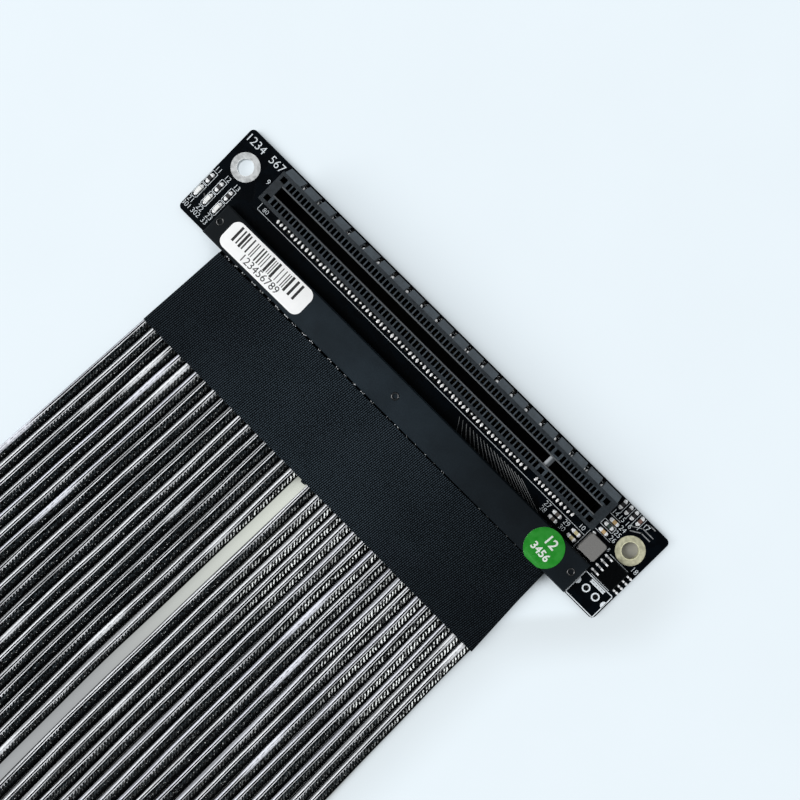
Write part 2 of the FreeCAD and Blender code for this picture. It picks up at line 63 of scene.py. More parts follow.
MM = 0.001
BODY = "root"
BOARD_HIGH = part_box("socket_board")[1]
STRIP_LOW, STRIP_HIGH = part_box("socket_cover")
PLUG_LOW, PLUG_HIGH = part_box("plug_board")
PLUG_STRIP_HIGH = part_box("plug_cover")[1]
HOUSING_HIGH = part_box("slot_housing")[1]
# Height of a figure in the plain lettering, as a share of its size
FIGURE_HEIGHT = 0.7
BLACK = (0.0, 0.0, 0.0)
FULL_TURN = 2 * math.pi
# Levels that most of a noise texture lies between
NOISE_SPREAD = (0.3, 0.7)
# Seams that are closed before edges are rounded, and the angle in degrees of an edge that is rounded
SEAM_GAP = 0.001
SHARP_EDGE = 40
# How far the edges of each kind of piece are rounded
HOUSING_ROUNDING = 0.06
CHIP_ROUNDING = 0.05
DIODE_ROUNDING = 0.06
INDUCTOR_ROUNDING = 0.12
TAB_ROUNDING = 0.2
# Starts of the random draws
TAIL_SEED = 82
LABEL_SEED = 12
CABLE_SEED = 36
SEAM_SEED = 7
SOCKET_TAPE_SEED = 4
PLUG_TAPE_SEED = 5
# Colours of small pieces, the darker and the lighter of each, and of the sticker's ink
DIODE_WHITE = ((0.88, 0.9, 0.88), (0.97, 0.98, 0.97))
MOULDED_BLACK = ((0.0006, 0.0008, 0.001), (0.0014, 0.0018, 0.0022))
STICKER_RIM = ((0.5, 0.7, 0.5), (0.6, 0.78, 0.6))
STICKER_INK = (0.85, 0.9, 0.85)

# Contact rows, as the slot has them
ROW_SHIFT = -0.907
ROW_REACH = 41.5
CONTACT_PITCH = 1.0
LONG_COUNT = 71
SHORT_COUNT = 11
SLOT_INSET = 5.37
TAIL_THICK = 0.2
LEDGE_GAPS = 21
LEDGE_GAP_FIRST = -40.7
LEDGE_PITCH = 4.0
HOUSING_WIDTH = 7.06
HOUSING_SHIFT = -0.7
CARD_REACH = 42.65
KEY_PLACE = 29.093
KEY_HALF = 0.64
SLOT_LINE = BOARD_HIGH.y / MM - SLOT_INSET
# Sides of the lead-in, the ribs and the pockets, from the slot's middle line
LEAD_IN_SIDES = (0.99, 1.24)
RIB_SIDES = (1.36, 2.78)
POCKET_SIDES = (2.95, 3.05)
# Solder of the tails on the cable side: inset, half length, half width, height, and how far it strays
JOINT_INSETS = (9.68, 9.82)
JOINT_REACHES = (0.46, 0.56)
JOINT_WIDTHS = (0.26, 0.31)
JOINT_HEIGHT = 0.12
JOINT_STRAY = 0.05
JOINT_TURN = 12
LOW_JOINT_INSET = 9.62
LOW_JOINT_REACH = 0.24
# Solder of the tails on the other side, and the short lines in the gaps between the ledges
OUTER_JOINT_INSET = 1.7
OUTER_JOINT = (0.45, 0.4, 0.9)
LEDGE_LINE = (-0.15, 0.25)
LEDGE_LINE_INSET = 0.62
LEDGE_LINE_WIDTH = 0.1
LEDGE_LINE_THICK = 0.02
# Places in the row whose solder joint is small
LOW_JOINTS = (4, 12, 16, 20, 24, 28, 32, 37, 41, 45, 49, 55, 59, 63, 67)

# Chips: x, inset, turn in degrees, finish
CAPACITORS = [
    (47.25, 7.75, 0, "tan"),
    (47.45, 4.9, 0, "tan"),
    (50.85, 1.25, 90, "brown"),
    (38.5, 11.75, 0, "umber"),
    (38.5, 13.0, 0, "umber"),
    (43.65, 11.7, 0, "straw"),
    (43.65, 13.05, 0, "straw"),
]
RESISTORS = [
    (47.25, 6.2, 0, "green"),
    (46.15, 1.25, 90, "black"),
    (47.75, 1.25, 90, "black"),
    (49.25, 1.25, 90, "black"),
]
CAPACITOR_SIZE = (1.6, 0.8, 0.62)
RESISTOR_SIZE = (1.6, 0.8, 0.5)
# Share of a chip's length that each tinned end takes, and of the ends' width and height that the body has
END_SHARE = 0.24
BODY_SHARE = 0.94
# Solder at a chip's ends: distance from its middle, then half length, half width and height
CHIP_JOINT_REACH = 0.86
CHIP_JOINT = (0.3, 0.4, 0.3)
INDUCTOR_JOINTS = ((46.2, 9.15), (46.2, 13.6))
INDUCTOR_JOINT = (0.42, 0.28, 0.3)
LED_COLUMNS = (-57.2, -54.62, -52.04)
LED_INSET = 16.4
LED_RESISTOR_INSET = 13.15
# Diodes: sizes of base, cap and tinned ends, distance of an end and of its solder from the middle
DIODE_BASE = (0.86, 2.0, 0.3)
DIODE_CAP = (0.8, 1.25, 0.36)
DIODE_END = (0.8, 0.3, 0.06)
DIODE_END_REACH = 0.86
DIODE_JOINT_REACH = 1.06
DIODE_JOINT = (0.34, 0.3, 0.28)
REGULATOR = (54.45, 12.55)
LEAD_PITCH = 1.27
LEADS_PER_SIDE = 4
PAD_REACHES = (-3.45, 3.2)
PAD_JOINT = (0.4, 0.27, 0.26)

# Screw holes with their plated rings, and the plug's fingers
SCREW_REACH = 53.6
SCREW_INSET = 6.7
SCREW_RADIUS = 1.75
RING_WALL = 0.04
RING_THICK = 0.05
RING_FOOT = 0.02
RIM_WIDTH = 0.1
RIM_THICK = 0.02
FINGER_START = 0.85
FINGER_RUN = 5.2
FINGER_WIDTH = 0.7
FINGER_THICK = 0.02

# White lines printed on the board: x, inset, x, inset
SILK_LINES = [
    (-46.2, 10.87, 45.0, 10.87),
    (-46.2, 10.87, -46.2, 9.4),
    (45.7, 8.35, 49.6, 8.35),
    (45.6, 5.6, 48.7, 5.6),
    (45.6, 6.92, 48.7, 6.92),
    (45.6, 5.6, 45.6, 6.92),
    (48.7, 5.6, 48.7, 6.92),
    (45.7, 4.15, 48.3, 4.15),
    (46.95, 0.15, 46.95, 2.9),
    (48.5, 0.15, 48.5, 2.9),
    (50.05, 0.15, 50.05, 2.9),
    (51.6, 0.15, 51.6, 2.9),
    (51.4, 9.98, 56.2, 9.98),
    (51.4, 15.25, 56.2, 15.25),
]
DOTTED_LINES = [
    (45.2, 8.5, 45.2, 14.2),
    (45.2, 14.2, 49.7, 14.2),
    (49.7, 13.6, 49.7, 14.2),
    (-44.0, 0.95, 42.0, 0.95),
]
# Steps and dashes of a dotted line, as shares of its width
DOT_STEP = 2.6
DOT_LENGTH = 0.5
# Printed boxes round each diode and its resistor: half width, cut corner, and insets
DIODE_BOX_HALF = 0.68
DIODE_BOX_CUT = 0.35
RESISTOR_BOX = (11.6, 14.62)
DIODE_BOX = (14.85, 18.1)
# Print at the place of the power header
HEADER_BOX = (50.35, 15.6, 57.65, 21.3)
HEADER_LINE_SHARE = 1.5
HEADER_MIDDLE = 54.15
HEADER_PIN_INSET = 18.0
HEADER_HOLES = (52.75, 55.29)
HEADER_RING = (0.58, 0.86)
HEADER_ROUND = 0.75
HEADER_BAR_INSETS = (15.98, 16.43)
HEADER_BAR = (3.6, 0.3)
HEADER_DASHES = 5
HEADER_DASH_INSET = 16.2
HEADER_DASH_PITCH = 0.72
HEADER_DASH = (0.56, 0.2)

# How much thinner the printed figures are than the plain lettering
FIGURE_THINNING = 0.015
# Plain numbers printed beside the chips: text, x, inset, height
SILK_NUMBERS = [
    ("1234", -55.35, 1.93, 1.75),
    ("567", -49.5, 1.93, 1.75),
    ("9", -48.3, 5.65, 1.1),
    ("80", -44.6, 10.1, 0.95),
    ("11", -57.1, 10.85, 1.05),
    ("12", -54.55, 10.85, 1.05),
    ("13", -52.0, 10.85, 1.05),
    ("21", -57.1, 18.85, 1.1),
    ("22", -54.55, 18.85, 1.1),
    ("23", -52.0, 18.85, 1.1),
    ("301", -57.05, 20.15, 1.05),
    ("302", -54.55, 20.15, 1.05),
    ("33", -52.1, 20.15, 1.05),
    ("10", 43.7, 10.1, 1.0),
    ("14", 46.3, 3.4, 1.05),
    ("15", 48.0, 3.4, 1.05),
    ("16", 49.8, 3.4, 1.05),
    ("17", 52.6, 1.3, 1.05),
    ("24", 49.6, 4.8, 1.05),
    ("25", 49.6, 6.2, 1.05),
    ("26", 49.6, 7.6, 1.05),
    ("8", 50.5, 9.6, 0.8),
    ("18", 57.0, 9.0, 1.1),
    ("27", 35.8, 11.75, 1.05),
    ("28", 35.8, 13.0, 1.05),
    ("29", 41.0, 11.7, 1.05),
    ("30", 41.0, 13.05, 1.05),
]

# Copper lines that show through the mask: points as x, inset
TRACES = [
    [(50.2, 3.2), (52.3, 1.9), (55.0, 1.9)],
    [(50.8, 3.9), (52.7, 2.75), (54.9, 2.75)],
    [(52.2, 0.9), (53.0, 0.5), (54.2, 0.5)],
    [(-55.9, 16.2), (-55.4, 16.6)],
]
TRACE_WIDTH = 0.22
COPPER_THICK = 0.015
FAN_WIDTH = 0.12
FAN_COUNT = 19
FAN_FIRST = 13.0
FAN_STEP = 1.255
FAN_RUNS = (1.6, 7.0)
FAN_INSETS = (11.75, 14.2)

# Label, sticker and round marks on the strip
PAPER_THICK = 0.1
INK_THICK = 0.01
LABEL = (-36.18, 17.78)
LABEL_TURN = 0.6
LABEL_BARS = (-45.2, -28.5)
LABEL_BAR_INSETS = (15.45, 18.4)
LABEL_BAR_WIDTHS = (0.18, 0.2, 0.32, 0.54)
LABEL_BAR_SPACES = (0.28, 0.38, 0.52, 0.68)
LABEL_NUMBER = ("123456789", -36.4, 19.65, 1.6)
STICKER = (41.05, 18.12)
STICKER_DIAMETER = 8.2
STICKER_RINGS = 10
STICKER_SEGMENTS = 64
# Lower and upper face of the sticker from the label's height, how far inside the strip's edge it bends
# down, and its slope past the bend
STICKER_FACES = (-0.09, 0.02)
STICKER_BEND = 0.25
STICKER_SLOPE = 0.9
STICKER_INK_THICK = 0.015
STICKER_INK_WEIGHT = 0.05
# Plain numbers on the sticker: text, across, up, height
STICKER_NUMBERS = [
    ("12", 0.1, 1.65, 2.0),
    ("3456", 0.05, -1.1, 1.6),
]
STICKER_TURN = -4.0
PIP_RADIUS = 0.67
PIP_THICK = 0.2
MARKS = ((-49.2, 17.75), (-0.45, 17.75), (48.1, 17.75))

# Route of the cables: y and z of each station
CABLE_STATIONS = [
    (-5.7, 2.5),
    (-33.0, 2.1),
    (-52.0, 0.9),
    (-111.2, 0.84),
    (-170.4, 0.9),
    (-189.4, 2.1),
    (-216.7, 2.5),
]
# X of the left and right cable of each group, at both ends and half way
END_EDGES = ((-43.75, -3.35), (1.44, 43.52))
MIDDLE_EDGES = ((-52.07, -6.4), (-1.43, 46.4))
CABLES_PER_GROUP = 18
CABLE_WIDTH = 2.3
CABLE_GAP = 0.12
CABLE_HEIGHT = 1.44
LOBES = ((-0.58, 0.57), (0.55, 0.6))
LOBE_WEB = 0.6
SECTION_STEPS = 13
# How a cable wanders: waves, their lengths and phases, the run in which it settles at both ends, and its
# roll in degrees
WAVES = 3
WAVE_LENGTHS = (20.0, 60.0)
WAVE_PHASES = (0, 6.3)
WANDER_EASE = 30.0
ROLL = 5
WAVE_ROLL = 4

# Looks of a cable along its run
PATTERN_SHIFT = 400.0
COVER_STARTS = (6.0, 8.0)
STRAND_PITCH = 0.84
STRAND_LEAN = -6.5
STRAND_LOOSE = 6.5
# Grain that makes a patch the same all across a cable
ALL_ACROSS = 40.0
# Sides of the painted highlights of film and loose film, and of the braid, from the cable's middle, and of
# the highlighted line and beads from the film's right edge, all swaying a little
CABLE_SWAY = 0.2
FILM_EDGE = (-1.2, -1.12)
FILM_REACH = 1.02
SHEET_SIDES = (-1.1, -0.05)
BRAID_SIDES = (0.12, 0.82)
LINE_SIDES = (0.27, 0.43)
BEAD_SIDES = (0.44, 0.72)
JACKET_GLOW = (0.62, 0.85, 1.0)
LILAC_FILM = (0.86, 0.88, 0.97)
# Brightness of the film's painted highlight from one cable to another, and how far each may stray from it
FILM_TONES = (0.45, 0.75, 0.9, 1.0, 1.15)
FILM_STRAY = (0.9, 1.1)
# How strongly the braid glints in the left and in the right group: least and most
BRAID_SHINE = ((0.01, 0.06), (0.35, 2.2))
# Cables beside the gap between the groups, which differ from their own group
GAP_SHINE = {18: 0.8, 19: 0.12}

# Table: its reach each way, how far shade spreads on it, and the right side of the cables and of the board
TABLE_REACH = 3000.0
TABLE_SHADE_REACH = 8.0
TABLE_SIDES = (46.5, 62.5)
# Sides and ends of the table showing between the two groups of cables, where shade is painted
TABLE_GAP = (-11.0, 5.0)
TABLE_GAP_RUN = (-204.0, -18.0)
# Distances from a screw hole's middle between which the table under it takes its own tone: painted shade
# under the right hole, and an even look under the left one
TABLE_HOLE = (1.7, 2.2)

# Room: heights between which its light fades, its light overhead, and the light and the fade of its foot
ROOM_TINT = (0.95, 0.98, 1.0, 1.0)
ROOM_FADE = (0.72, 0.92)
ROOM_OVERHEAD = 0.04
ROOM_FOOT = 0.9
ROOM_FOOT_FADE = (0.03, 0.09)
# Camera: width of its sensor, and the nearest distance that it sees
SENSOR_WIDTH = 36.0
NEAREST_SEEN = 10.0

# Tape: distances of its edges from the strip's edge on the left and right, and how far it stands past
# the outer cables
TAPE_STARTS = (0.62, 0.18)
TAPE_ENDS = (20.7, 21.2)
TAPE_MARGIN = 1.5
TAPE_LEFT_TUCK = 0.42
TAPE_RIGHT_TUCK = 0.6
TAPE_HALF_WIDTH = 46.0
TAPE_HALF_HEIGHT = 1.1
TAPE_WALL = 0.25
TAPE_ROWS = 28
TAPE_COLUMNS = 160
TAPE_UNDER_STEPS = 48
TAPE_CORNER = 0.55
TAPE_LOWEST = 0.05
# How far the tape sinks with the cables under it, and the heights of its ridges and puckers
TAPE_SINK = 0.55
RIDGE_HEIGHT = 0.035
PUCKER_HEIGHT = 0.025
# Puckers: waves from side to side, and how far they lean from row to row
PUCKERS = ((3, 0.4), (7, -0.6), (12, 0.9), (5, 1.3))
# Loose end of the tape between the groups: tuck, place from the tape's edge, size and turn
TAB_TUCK = 0.2
TAB_PLACE = (-1.35, -0.3, 1.3)
TAB_SIZE = (1.25, 1.0, 0.9)
TAB_TURN = 0.12
# Bright ends in the seam: height, place from the cable's middle, step to the next, width, rise and turn
SEAM_HEIGHT = 3.15
SEAM_STARTS = (-0.5, 0.3)
SEAM_STEPS = (0.25, 0.5)
SEAM_WIDTHS = (0.1, 0.18)
SEAM_RISES = (0.2, 0.34)
SEAM_TURN = 0.6
# Half length and distance from the strip of the ends in the left and in the right group
SEAM_REACHES = ((0.1, 0.2), (0.1, 0.14))
SEAM_BACKS = ((0.12, 0.36), (0.12, 0.16))
# Ribs of the tape: pitch, turn in degrees, and pitch of the beads along a rib
RIB_PITCH = 0.41
RIB_TURN = 7.0
BEAD_PITCH = 0.55


def on_board(x, inset, lift=0.0):
    """A point on the socket board's upper face."""
    return Vector((x * MM, BOARD_HIGH.y - inset * MM, BOARD_HIGH.z + lift * MM))


def metres(*lengths):
    """Lengths in millimetres, as metres."""
    return tuple(length * MM for length in lengths)


def contact_places():
    """X of every contact of a row, in millimetres."""
    long_row = [ROW_SHIFT - ROW_REACH + CONTACT_PITCH * step for step in range(LONG_COUNT)]
    short_row = [ROW_SHIFT + ROW_REACH - CONTACT_PITCH * step for step in range(SHORT_COUNT)]
    return long_row + short_row[::-1]


class Shape:
    """Points and faces gathered for one piece."""

    def __init__(self):
        self.points = []
        self.faces = []
        self.finishes = []

    def add(self, points, faces, finish=0):
        """Add points and the faces between them."""
        first = len(self.points)
        self.points += [tuple(point) for point in points]
        self.faces += [tuple(first + index for index in face) for face in faces]
        self.finishes += [finish] * len(faces)

    def prism(self, outline, low, high, finish=0):
        """A plate from an outline, counter-clockwise from above, between two heights."""
        count = len(outline)
        points = [(x, y, low) for x, y in outline] + [(x, y, high) for x, y in outline]
        faces = [tuple(reversed(range(count))), tuple(range(count, 2 * count))]
        for index in range(count):
            after = (index + 1) % count
            faces.append((index, after, count + after, count + index))
        self.add(points, faces, finish)

    def box(self, centre, size, turn=0.0, finish=0):
        """A box standing on a point, turned about the upright."""
        length, width, height = size
        spin = Matrix.Rotation(turn, 2)
        corners = [(-1, -1), (1, -1), (1, 1), (-1, 1)]
        outline = [spin @ Vector((x * length / 2, y * width / 2)) for x, y in corners]
        outline = [(centre[0] + point.x, centre[1] + point.y) for point in outline]
        self.prism(outline, centre[2], centre[2] + height, finish)

    def bar(self, start, end, width, height, finish=0):
        """A flat line from one point to another, a little raised."""
        run = Vector(end) - Vector(start)
        turn = math.atan2(run.y, run.x)
        middle = (Vector(start) + Vector(end)) / 2
        self.box(middle, (run.length + width, width, height), turn, finish)

    def turned(self, centre, profile, segments, finish=0):
        """A ring turned about the upright from a closed profile of radii and heights."""
        count = len(profile)
        points = []
        faces = []
        for angle in np.linspace(0, FULL_TURN, segments, endpoint=False):
            for radius, height in profile:
                points.append(
                    (centre[0] + radius * math.cos(angle), centre[1] + radius * math.sin(angle), height)
                )
        for step in range(segments):
            here = count * step
            there = count * ((step + 1) % segments)
            for corner in range(count):
                after = (corner + 1) % count
                faces.append((here + corner, there + corner, there + after, here + after))
        self.add(points, faces, finish)

    def ring(self, centre, inner, outer, low, high, segments=64, finish=0):
        """A flat ring between two heights."""
        self.turned(centre, ((inner, low), (outer, low), (outer, high), (inner, high)), segments, finish)

    def bead(self, centre, radius, thick, segments=32, sides=12, finish=0):
        """A round-sectioned ring about a point."""
        profile = [
            (radius + thick * math.cos(angle), centre[2] + thick * math.sin(angle))
            for angle in np.linspace(0, FULL_TURN, sides, endpoint=False)
        ]
        self.turned(centre, profile, segments, finish)

    def dome(self, centre, radii, turn=0.0, finish=0, segments=12, rings=4):
        """A half egg standing on a point, with half axes along, across and up."""
        spin = Matrix.Rotation(turn, 3, "Z")
        points = []
        for ring in range(rings):
            angle = ring / rings * math.pi / 2
            for step in range(segments):
                around = FULL_TURN * step / segments
                local = Vector(
                    (
                        radii[0] * math.cos(angle) * math.cos(around),
                        radii[1] * math.cos(angle) * math.sin(around),
                        radii[2] * math.sin(angle),
                    )
                )
                points.append(Vector(centre) + spin @ local)
        points.append(Vector(centre) + Vector((0, 0, radii[2])))
        top = len(points) - 1
        faces = [tuple(reversed(range(segments)))]
        for ring in range(rings - 1):
            for step in range(segments):
                after = (step + 1) % segments
                low = ring * segments
                high = low + segments
                faces.append((low + step, low + after, high + after, high + step))
        last = (rings - 1) * segments
        faces += [(last + step, last + (step + 1) % segments, top) for step in range(segments)]
        self.add(points, faces, finish)

    def number(self, text, centre, height, thick, turn=0.0, finish=0, weight=0.0):
        """A plain number centred on a point, read along X before its turn."""
        curve = bpy.data.curves.new("number", "FONT")
        curve.body = text
        curve.align_x = "CENTER"
        curve.align_y = "CENTER"
        curve.size = height / FIGURE_HEIGHT
        curve.extrude = thick / 2
        curve.offset = weight
        curve.resolution_u = 3
        holder = bpy.data.objects.new("number", curve)
        mesh = bpy.data.meshes.new_from_object(holder)
        grid = bmesh.new()
        grid.from_mesh(mesh)
        bmesh.ops.remove_doubles(grid, verts=grid.verts, dist=thick / 20)
        grid.verts.index_update()
        spin = Matrix.Rotation(turn, 3, "Z")
        lift = Vector((0, 0, thick / 2))
        points = [Vector(centre) + spin @ vertex.co + lift for vertex in grid.verts]
        faces = [tuple(vertex.index for vertex in face.verts) for face in grid.faces]
        self.add(points, faces, finish)
        grid.free()
        bpy.data.meshes.remove(mesh)
        bpy.data.curves.remove(curve)


def make_piece(name, shape, finishes, smooth=None):
    """A mesh object from a shape, riding on the cable's one body."""
    mesh = bpy.data.meshes.new(name)
    mesh.from_pydata(shape.points, [], shape.faces)
    for finish in finishes:
        mesh.materials.append(finish)
    mesh.polygons.foreach_set("material_index", shape.finishes)
    if smooth is not None:
        mesh.shade_smooth()
        mesh.set_sharp_from_angle(angle=math.radians(smooth))
    mesh.validate()
    piece = bpy.data.objects.new(name, mesh)
    bpy.context.scene.collection.objects.link(piece)
    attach(piece, BODY)
    return piece


def soften(piece, width, segments=2):
    """Round a piece's sharp edges a little, with the seams between its faces closed first."""
    weld = piece.modifiers.new("closed_seams", "WELD")
    weld.merge_threshold = SEAM_GAP * MM
    bevel = piece.modifiers.new("soft_edges", "BEVEL")
    bevel.width = width
    bevel.segments = segments
    bevel.limit_method = "ANGLE"
    bevel.angle_limit = math.radians(SHARP_EDGE)
    bevel.use_clamp_overlap = True
    bevel.harden_normals = True


def dress(node, finish):
    """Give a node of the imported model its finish."""
    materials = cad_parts[node].data.materials
    materials.clear()
    materials.append(finish)


class Graph:
    """A material's node tree, with short calls for the nodes that the finishes use."""

    def __init__(self, name):
        self.material = bpy.data.materials.new(name)
        self.material.use_nodes = True
        self.nodes = self.material.node_tree.nodes
        self.links = self.material.node_tree.links
        self.shader = self.nodes["Principled BSDF"]

    def set(self, **values):
        """Fixed values of the shader's own sockets."""
        for name, value in values.items():
            self.shader.inputs[name.replace("_", " ")].default_value = value

    def feed(self, name, source):
        """Link a source to one of the shader's sockets."""
        self.links.new(source, self.shader.inputs[name])

    def put(self, socket, value):
        """Set a socket's value, or link it when the value is another socket."""
        if isinstance(value, bpy.types.NodeSocket):
            self.links.new(value, socket)
        else:
            socket.default_value = value

    def position(self, turn=0.0):
        """Place on the object in millimetres, turned about the upright."""
        coordinates = self.nodes.new("ShaderNodeTexCoord")
        mapping = self.nodes.new("ShaderNodeMapping")
        mapping.vector_type = "POINT"
        mapping.inputs["Rotation"].default_value[2] = turn
        mapping.inputs["Scale"].default_value = [1 / MM] * 3
        self.links.new(coordinates.outputs["Object"], mapping.inputs["Vector"])
        return mapping.outputs["Vector"]

    def noise(self, grain, detail=3.0, where=None):
        """Soft random grains of about a size in millimetres."""
        node = self.nodes.new("ShaderNodeTexNoise")
        node.inputs["Scale"].default_value = 1 / grain
        node.inputs["Detail"].default_value = detail
        self.links.new(where or self.position(), node.inputs["Vector"])
        return node.outputs[0]

    def split(self, vector):
        """The three parts of a vector."""
        node = self.nodes.new("ShaderNodeSeparateXYZ")
        self.links.new(vector, node.inputs[0])
        return node.outputs

    def math(self, operation, *values):
        """One arithmetic step."""
        node = self.nodes.new("ShaderNodeMath")
        node.operation = operation
        for socket, value in zip(node.inputs, values):
            self.put(socket, value)
        return node.outputs[0]

    def chain(self, operation, values):
        """Several values taken together by one kind of step, from the first to the last."""
        result = values[0]
        for value in values[1:]:
            result = self.math(operation, result, value)
        return result

    def times(self, *values):
        """Several values multiplied."""
        return self.chain("MULTIPLY", values)

    def plus(self, *values):
        """Several values added."""
        return self.chain("ADD", values)

    def most(self, *values):
        """The largest of several values."""
        return self.chain("MAXIMUM", values)

    def minus(self, first, second):
        """One value less another."""
        return self.math("SUBTRACT", first, second)

    def span(self, value, low, high, first=0.0, last=1.0):
        """A smooth step of a value from one level to another."""
        node = self.nodes.new("ShaderNodeMapRange")
        node.interpolation_type = "SMOOTHSTEP"
        for socket, item in zip(node.inputs, (value, low, high, first, last)):
            self.put(socket, item)
        return node.outputs[0]

    def band(self, value, low, high, edge):
        """One between two limits and nought outside, with soft edges."""
        rise = self.span(value, low - edge, low + edge)
        fall = self.span(value, high - edge, high + edge, 1.0, 0.0)
        return self.times(rise, fall)

    def mix(self, share, first, second):
        """A blend of two colours."""
        node = self.nodes.new("ShaderNodeMix")
        node.data_type = "RGBA"
        self.put(node.inputs[0], share)
        for socket, colour in ((node.inputs[6], first), (node.inputs[7], second)):
            self.put(socket, colour if isinstance(colour, bpy.types.NodeSocket) else (*colour, 1.0))
        return node.outputs[2]

    def toned(self, level, colour, most):
        """A colour made darker or lighter by a level, up to a number of times as light."""
        return self.mix(self.math("DIVIDE", level, most), BLACK, shade(colour, most))

    def relief(self, height, distance):
        """Small heights in millimetres, as a normal."""
        node = self.nodes.new("ShaderNodeBump")
        node.inputs["Strength"].default_value = 1.0
        node.inputs["Distance"].default_value = distance * MM
        self.links.new(height, node.inputs["Height"])
        self.feed("Normal", node.outputs[0])


def grained(name, first, second, grain, roughness, relief=0.0, spread=0.08, **values):
    """A finish that wanders between two colours in small grains."""
    graph = Graph(name)
    grains = graph.noise(grain)
    contrast = graph.span(grains, *NOISE_SPREAD)
    graph.feed("Base Color", graph.mix(contrast, first, second))
    graph.feed("Roughness", graph.span(grains, *NOISE_SPREAD, roughness - spread, roughness + spread))
    if relief:
        graph.relief(grains, relief)
    graph.set(**values)
    return graph.material


def shade(colour, factor):
    """A lighter or darker copy of a colour."""
    return tuple(min(1.0, part * factor) for part in colour)


def mask_finish(colour):
    """Black solder mask: glossy, with the faint steps of copper under it."""
    graph = Graph("solder_mask")
    copper = graph.span(graph.noise(2.6, detail=1.0), 0.49, 0.52)
    fine = graph.noise(0.09)
    graph.feed("Base Color", graph.mix(copper, shade(colour, 0.85), shade(colour, 1.3)))
    graph.feed("Roughness", graph.span(fine, *NOISE_SPREAD, 0.16, 0.24))
    graph.relief(graph.times(copper, 0.6), 0.008)
    graph.set(Specular_IOR_Level=0.22)
    return graph.material


def housing_finish(plastic, rim):
    """Moulded slot: painted highlight on ribs, ledges, rims and key; painted shade in the gap and pockets.
    """
    rib_highlight = 1.05
    ledge_light = 1.65
    deep_shade = 0.97
    most = 4.0
    graph = Graph("slot_plastic")
    along, across, height = graph.split(graph.position())
    outward = graph.minus(across, SLOT_LINE)
    aside = graph.math("ABSOLUTE", outward)
    depth = graph.minus(HOUSING_HIGH.z / MM, height)
    grains = graph.span(graph.noise(0.2, detail=4.0), *NOISE_SPREAD, 0.7, 1.3)
    blotches = graph.span(graph.noise(1.6), 0.35, 0.65, 0.85, 1.15)

    # Painted highlights: lighter rib tops and ledge faces, and lead-in rims lighter on one side than the
    # other.
    in_row = graph.band(along, HOUSING_SHIFT - CARD_REACH, HOUSING_SHIFT + CARD_REACH, 0.05)
    at_top = graph.span(depth, 0.12, 0.3, 1.0, 0.0)
    ribs = graph.times(graph.band(aside, *RIB_SIDES, 0.04), at_top, in_row)
    ledge = graph.span(outward, HOUSING_WIDTH / 2 - 0.05, HOUSING_WIDTH / 2 + 0.05)
    at_rim = graph.span(depth, 0.24, 0.3, 1.0, 0.0)
    lit_side = graph.span(outward, -0.5, 0.5, 1.0, 0.65)
    lead_in = graph.times(graph.band(aside, *LEAD_IN_SIDES, 0.02), at_rim, in_row, lit_side)
    # Painted shade: dark inside the card gap and the pockets, below their tops.
    inside = graph.times(graph.span(aside, *POCKET_SIDES, 1.0, 0.0), graph.span(depth, 0.2, 0.6))
    # Painted highlight on the key, strongest at its left end.
    key_run = graph.minus(along, KEY_PLACE)
    key_ends = graph.band(key_run, -KEY_HALF, KEY_HALF, 0.02)
    key_top = graph.span(depth, 0.52, 0.56, 1.0, 0.0)
    key = graph.times(key_ends, graph.span(aside, 0.96, 1.0, 1.0, 0.0), key_top)
    key_highlight = graph.times(key, graph.span(key_run, -0.35, 0.2, 1.0, 0.12))

    light = graph.plus(1.0, graph.times(ribs, rib_highlight), graph.times(ledge, ledge_light))
    shadowed = graph.times(inside, graph.minus(1.0, key), deep_shade)
    level = graph.times(light, graph.minus(1.0, shadowed), grains, blotches)
    base = graph.mix(graph.times(lead_in, 0.8), graph.toned(level, plastic, most), rim)
    graph.feed("Base Color", graph.mix(key_highlight, base, shade(rim, 2.4)))
    graph.feed("Roughness", graph.span(grains, 0.7, 1.3, 0.34, 0.48))
    graph.set(Specular_IOR_Level=0.3)
    graph.relief(grains, 0.02)
    return graph.material


def contact_finish(gold, tin):
    """Spring metal: gold in the slot, with the tails outside it made nearly black as painted shade."""
    graph = Graph("contact_metal")
    across = graph.split(graph.position())[1]
    aside = graph.math("ABSOLUTE", graph.minus(across, SLOT_LINE))
    # Painted shade: the tails outside the slot are made nearly black.
    darkened = graph.span(aside, 2.9, 3.3)
    worn = graph.span(graph.noise(0.25), 0.35, 0.65, 0.75, 1.0)
    metal = graph.mix(darkened, shade(gold, 0.35), shade(tin, 0.06))
    graph.feed("Base Color", graph.mix(worn, shade(gold, 0.1), metal))
    graph.feed("Roughness", graph.span(graph.noise(0.1), *NOISE_SPREAD, 0.22, 0.4))
    graph.set(Metallic=0.85)
    return graph.material


def copper_finish(colour):
    """Copper under the mask, plainer to see toward the right end."""
    graph = Graph("masked_copper")
    along = graph.split(graph.position())[0]
    cloud = graph.span(graph.noise(0.5), *NOISE_SPREAD, 0.6, 1.0)
    seen = graph.times(graph.span(along, 2.0, 28.0, 0.2, 1.0), cloud)
    graph.feed("Base Color", graph.mix(seen, shade(colour, 0.1), colour))
    graph.set(Roughness=0.4, Specular_IOR_Level=0.3)
    return graph.material


def solder_finish(name, tin, metallic=0.12):
    """Bright solder, a little clouded."""
    return grained(name, shade(tin, 0.9), tin, 0.35, 0.3, 0.015, Metallic=metallic)


def lead_finish(tin):
    """Tinned leads: bright at the shoulder and dull on the foot."""
    graph = Graph("lead_tin")
    height = graph.split(graph.position())[2]
    board = BOARD_HIGH.z / MM
    raised = graph.span(height, board + 0.5, board + 0.9)
    worn = graph.span(graph.noise(0.2), *NOISE_SPREAD, 0.75, 1.0)
    darkened = graph.mix(worn, shade(tin, 0.2), shade(tin, 0.4))
    graph.feed("Base Color", graph.mix(raised, darkened, tin))
    graph.feed("Roughness", graph.span(worn, 0.75, 1.0, 0.45, 0.3))
    return graph.material


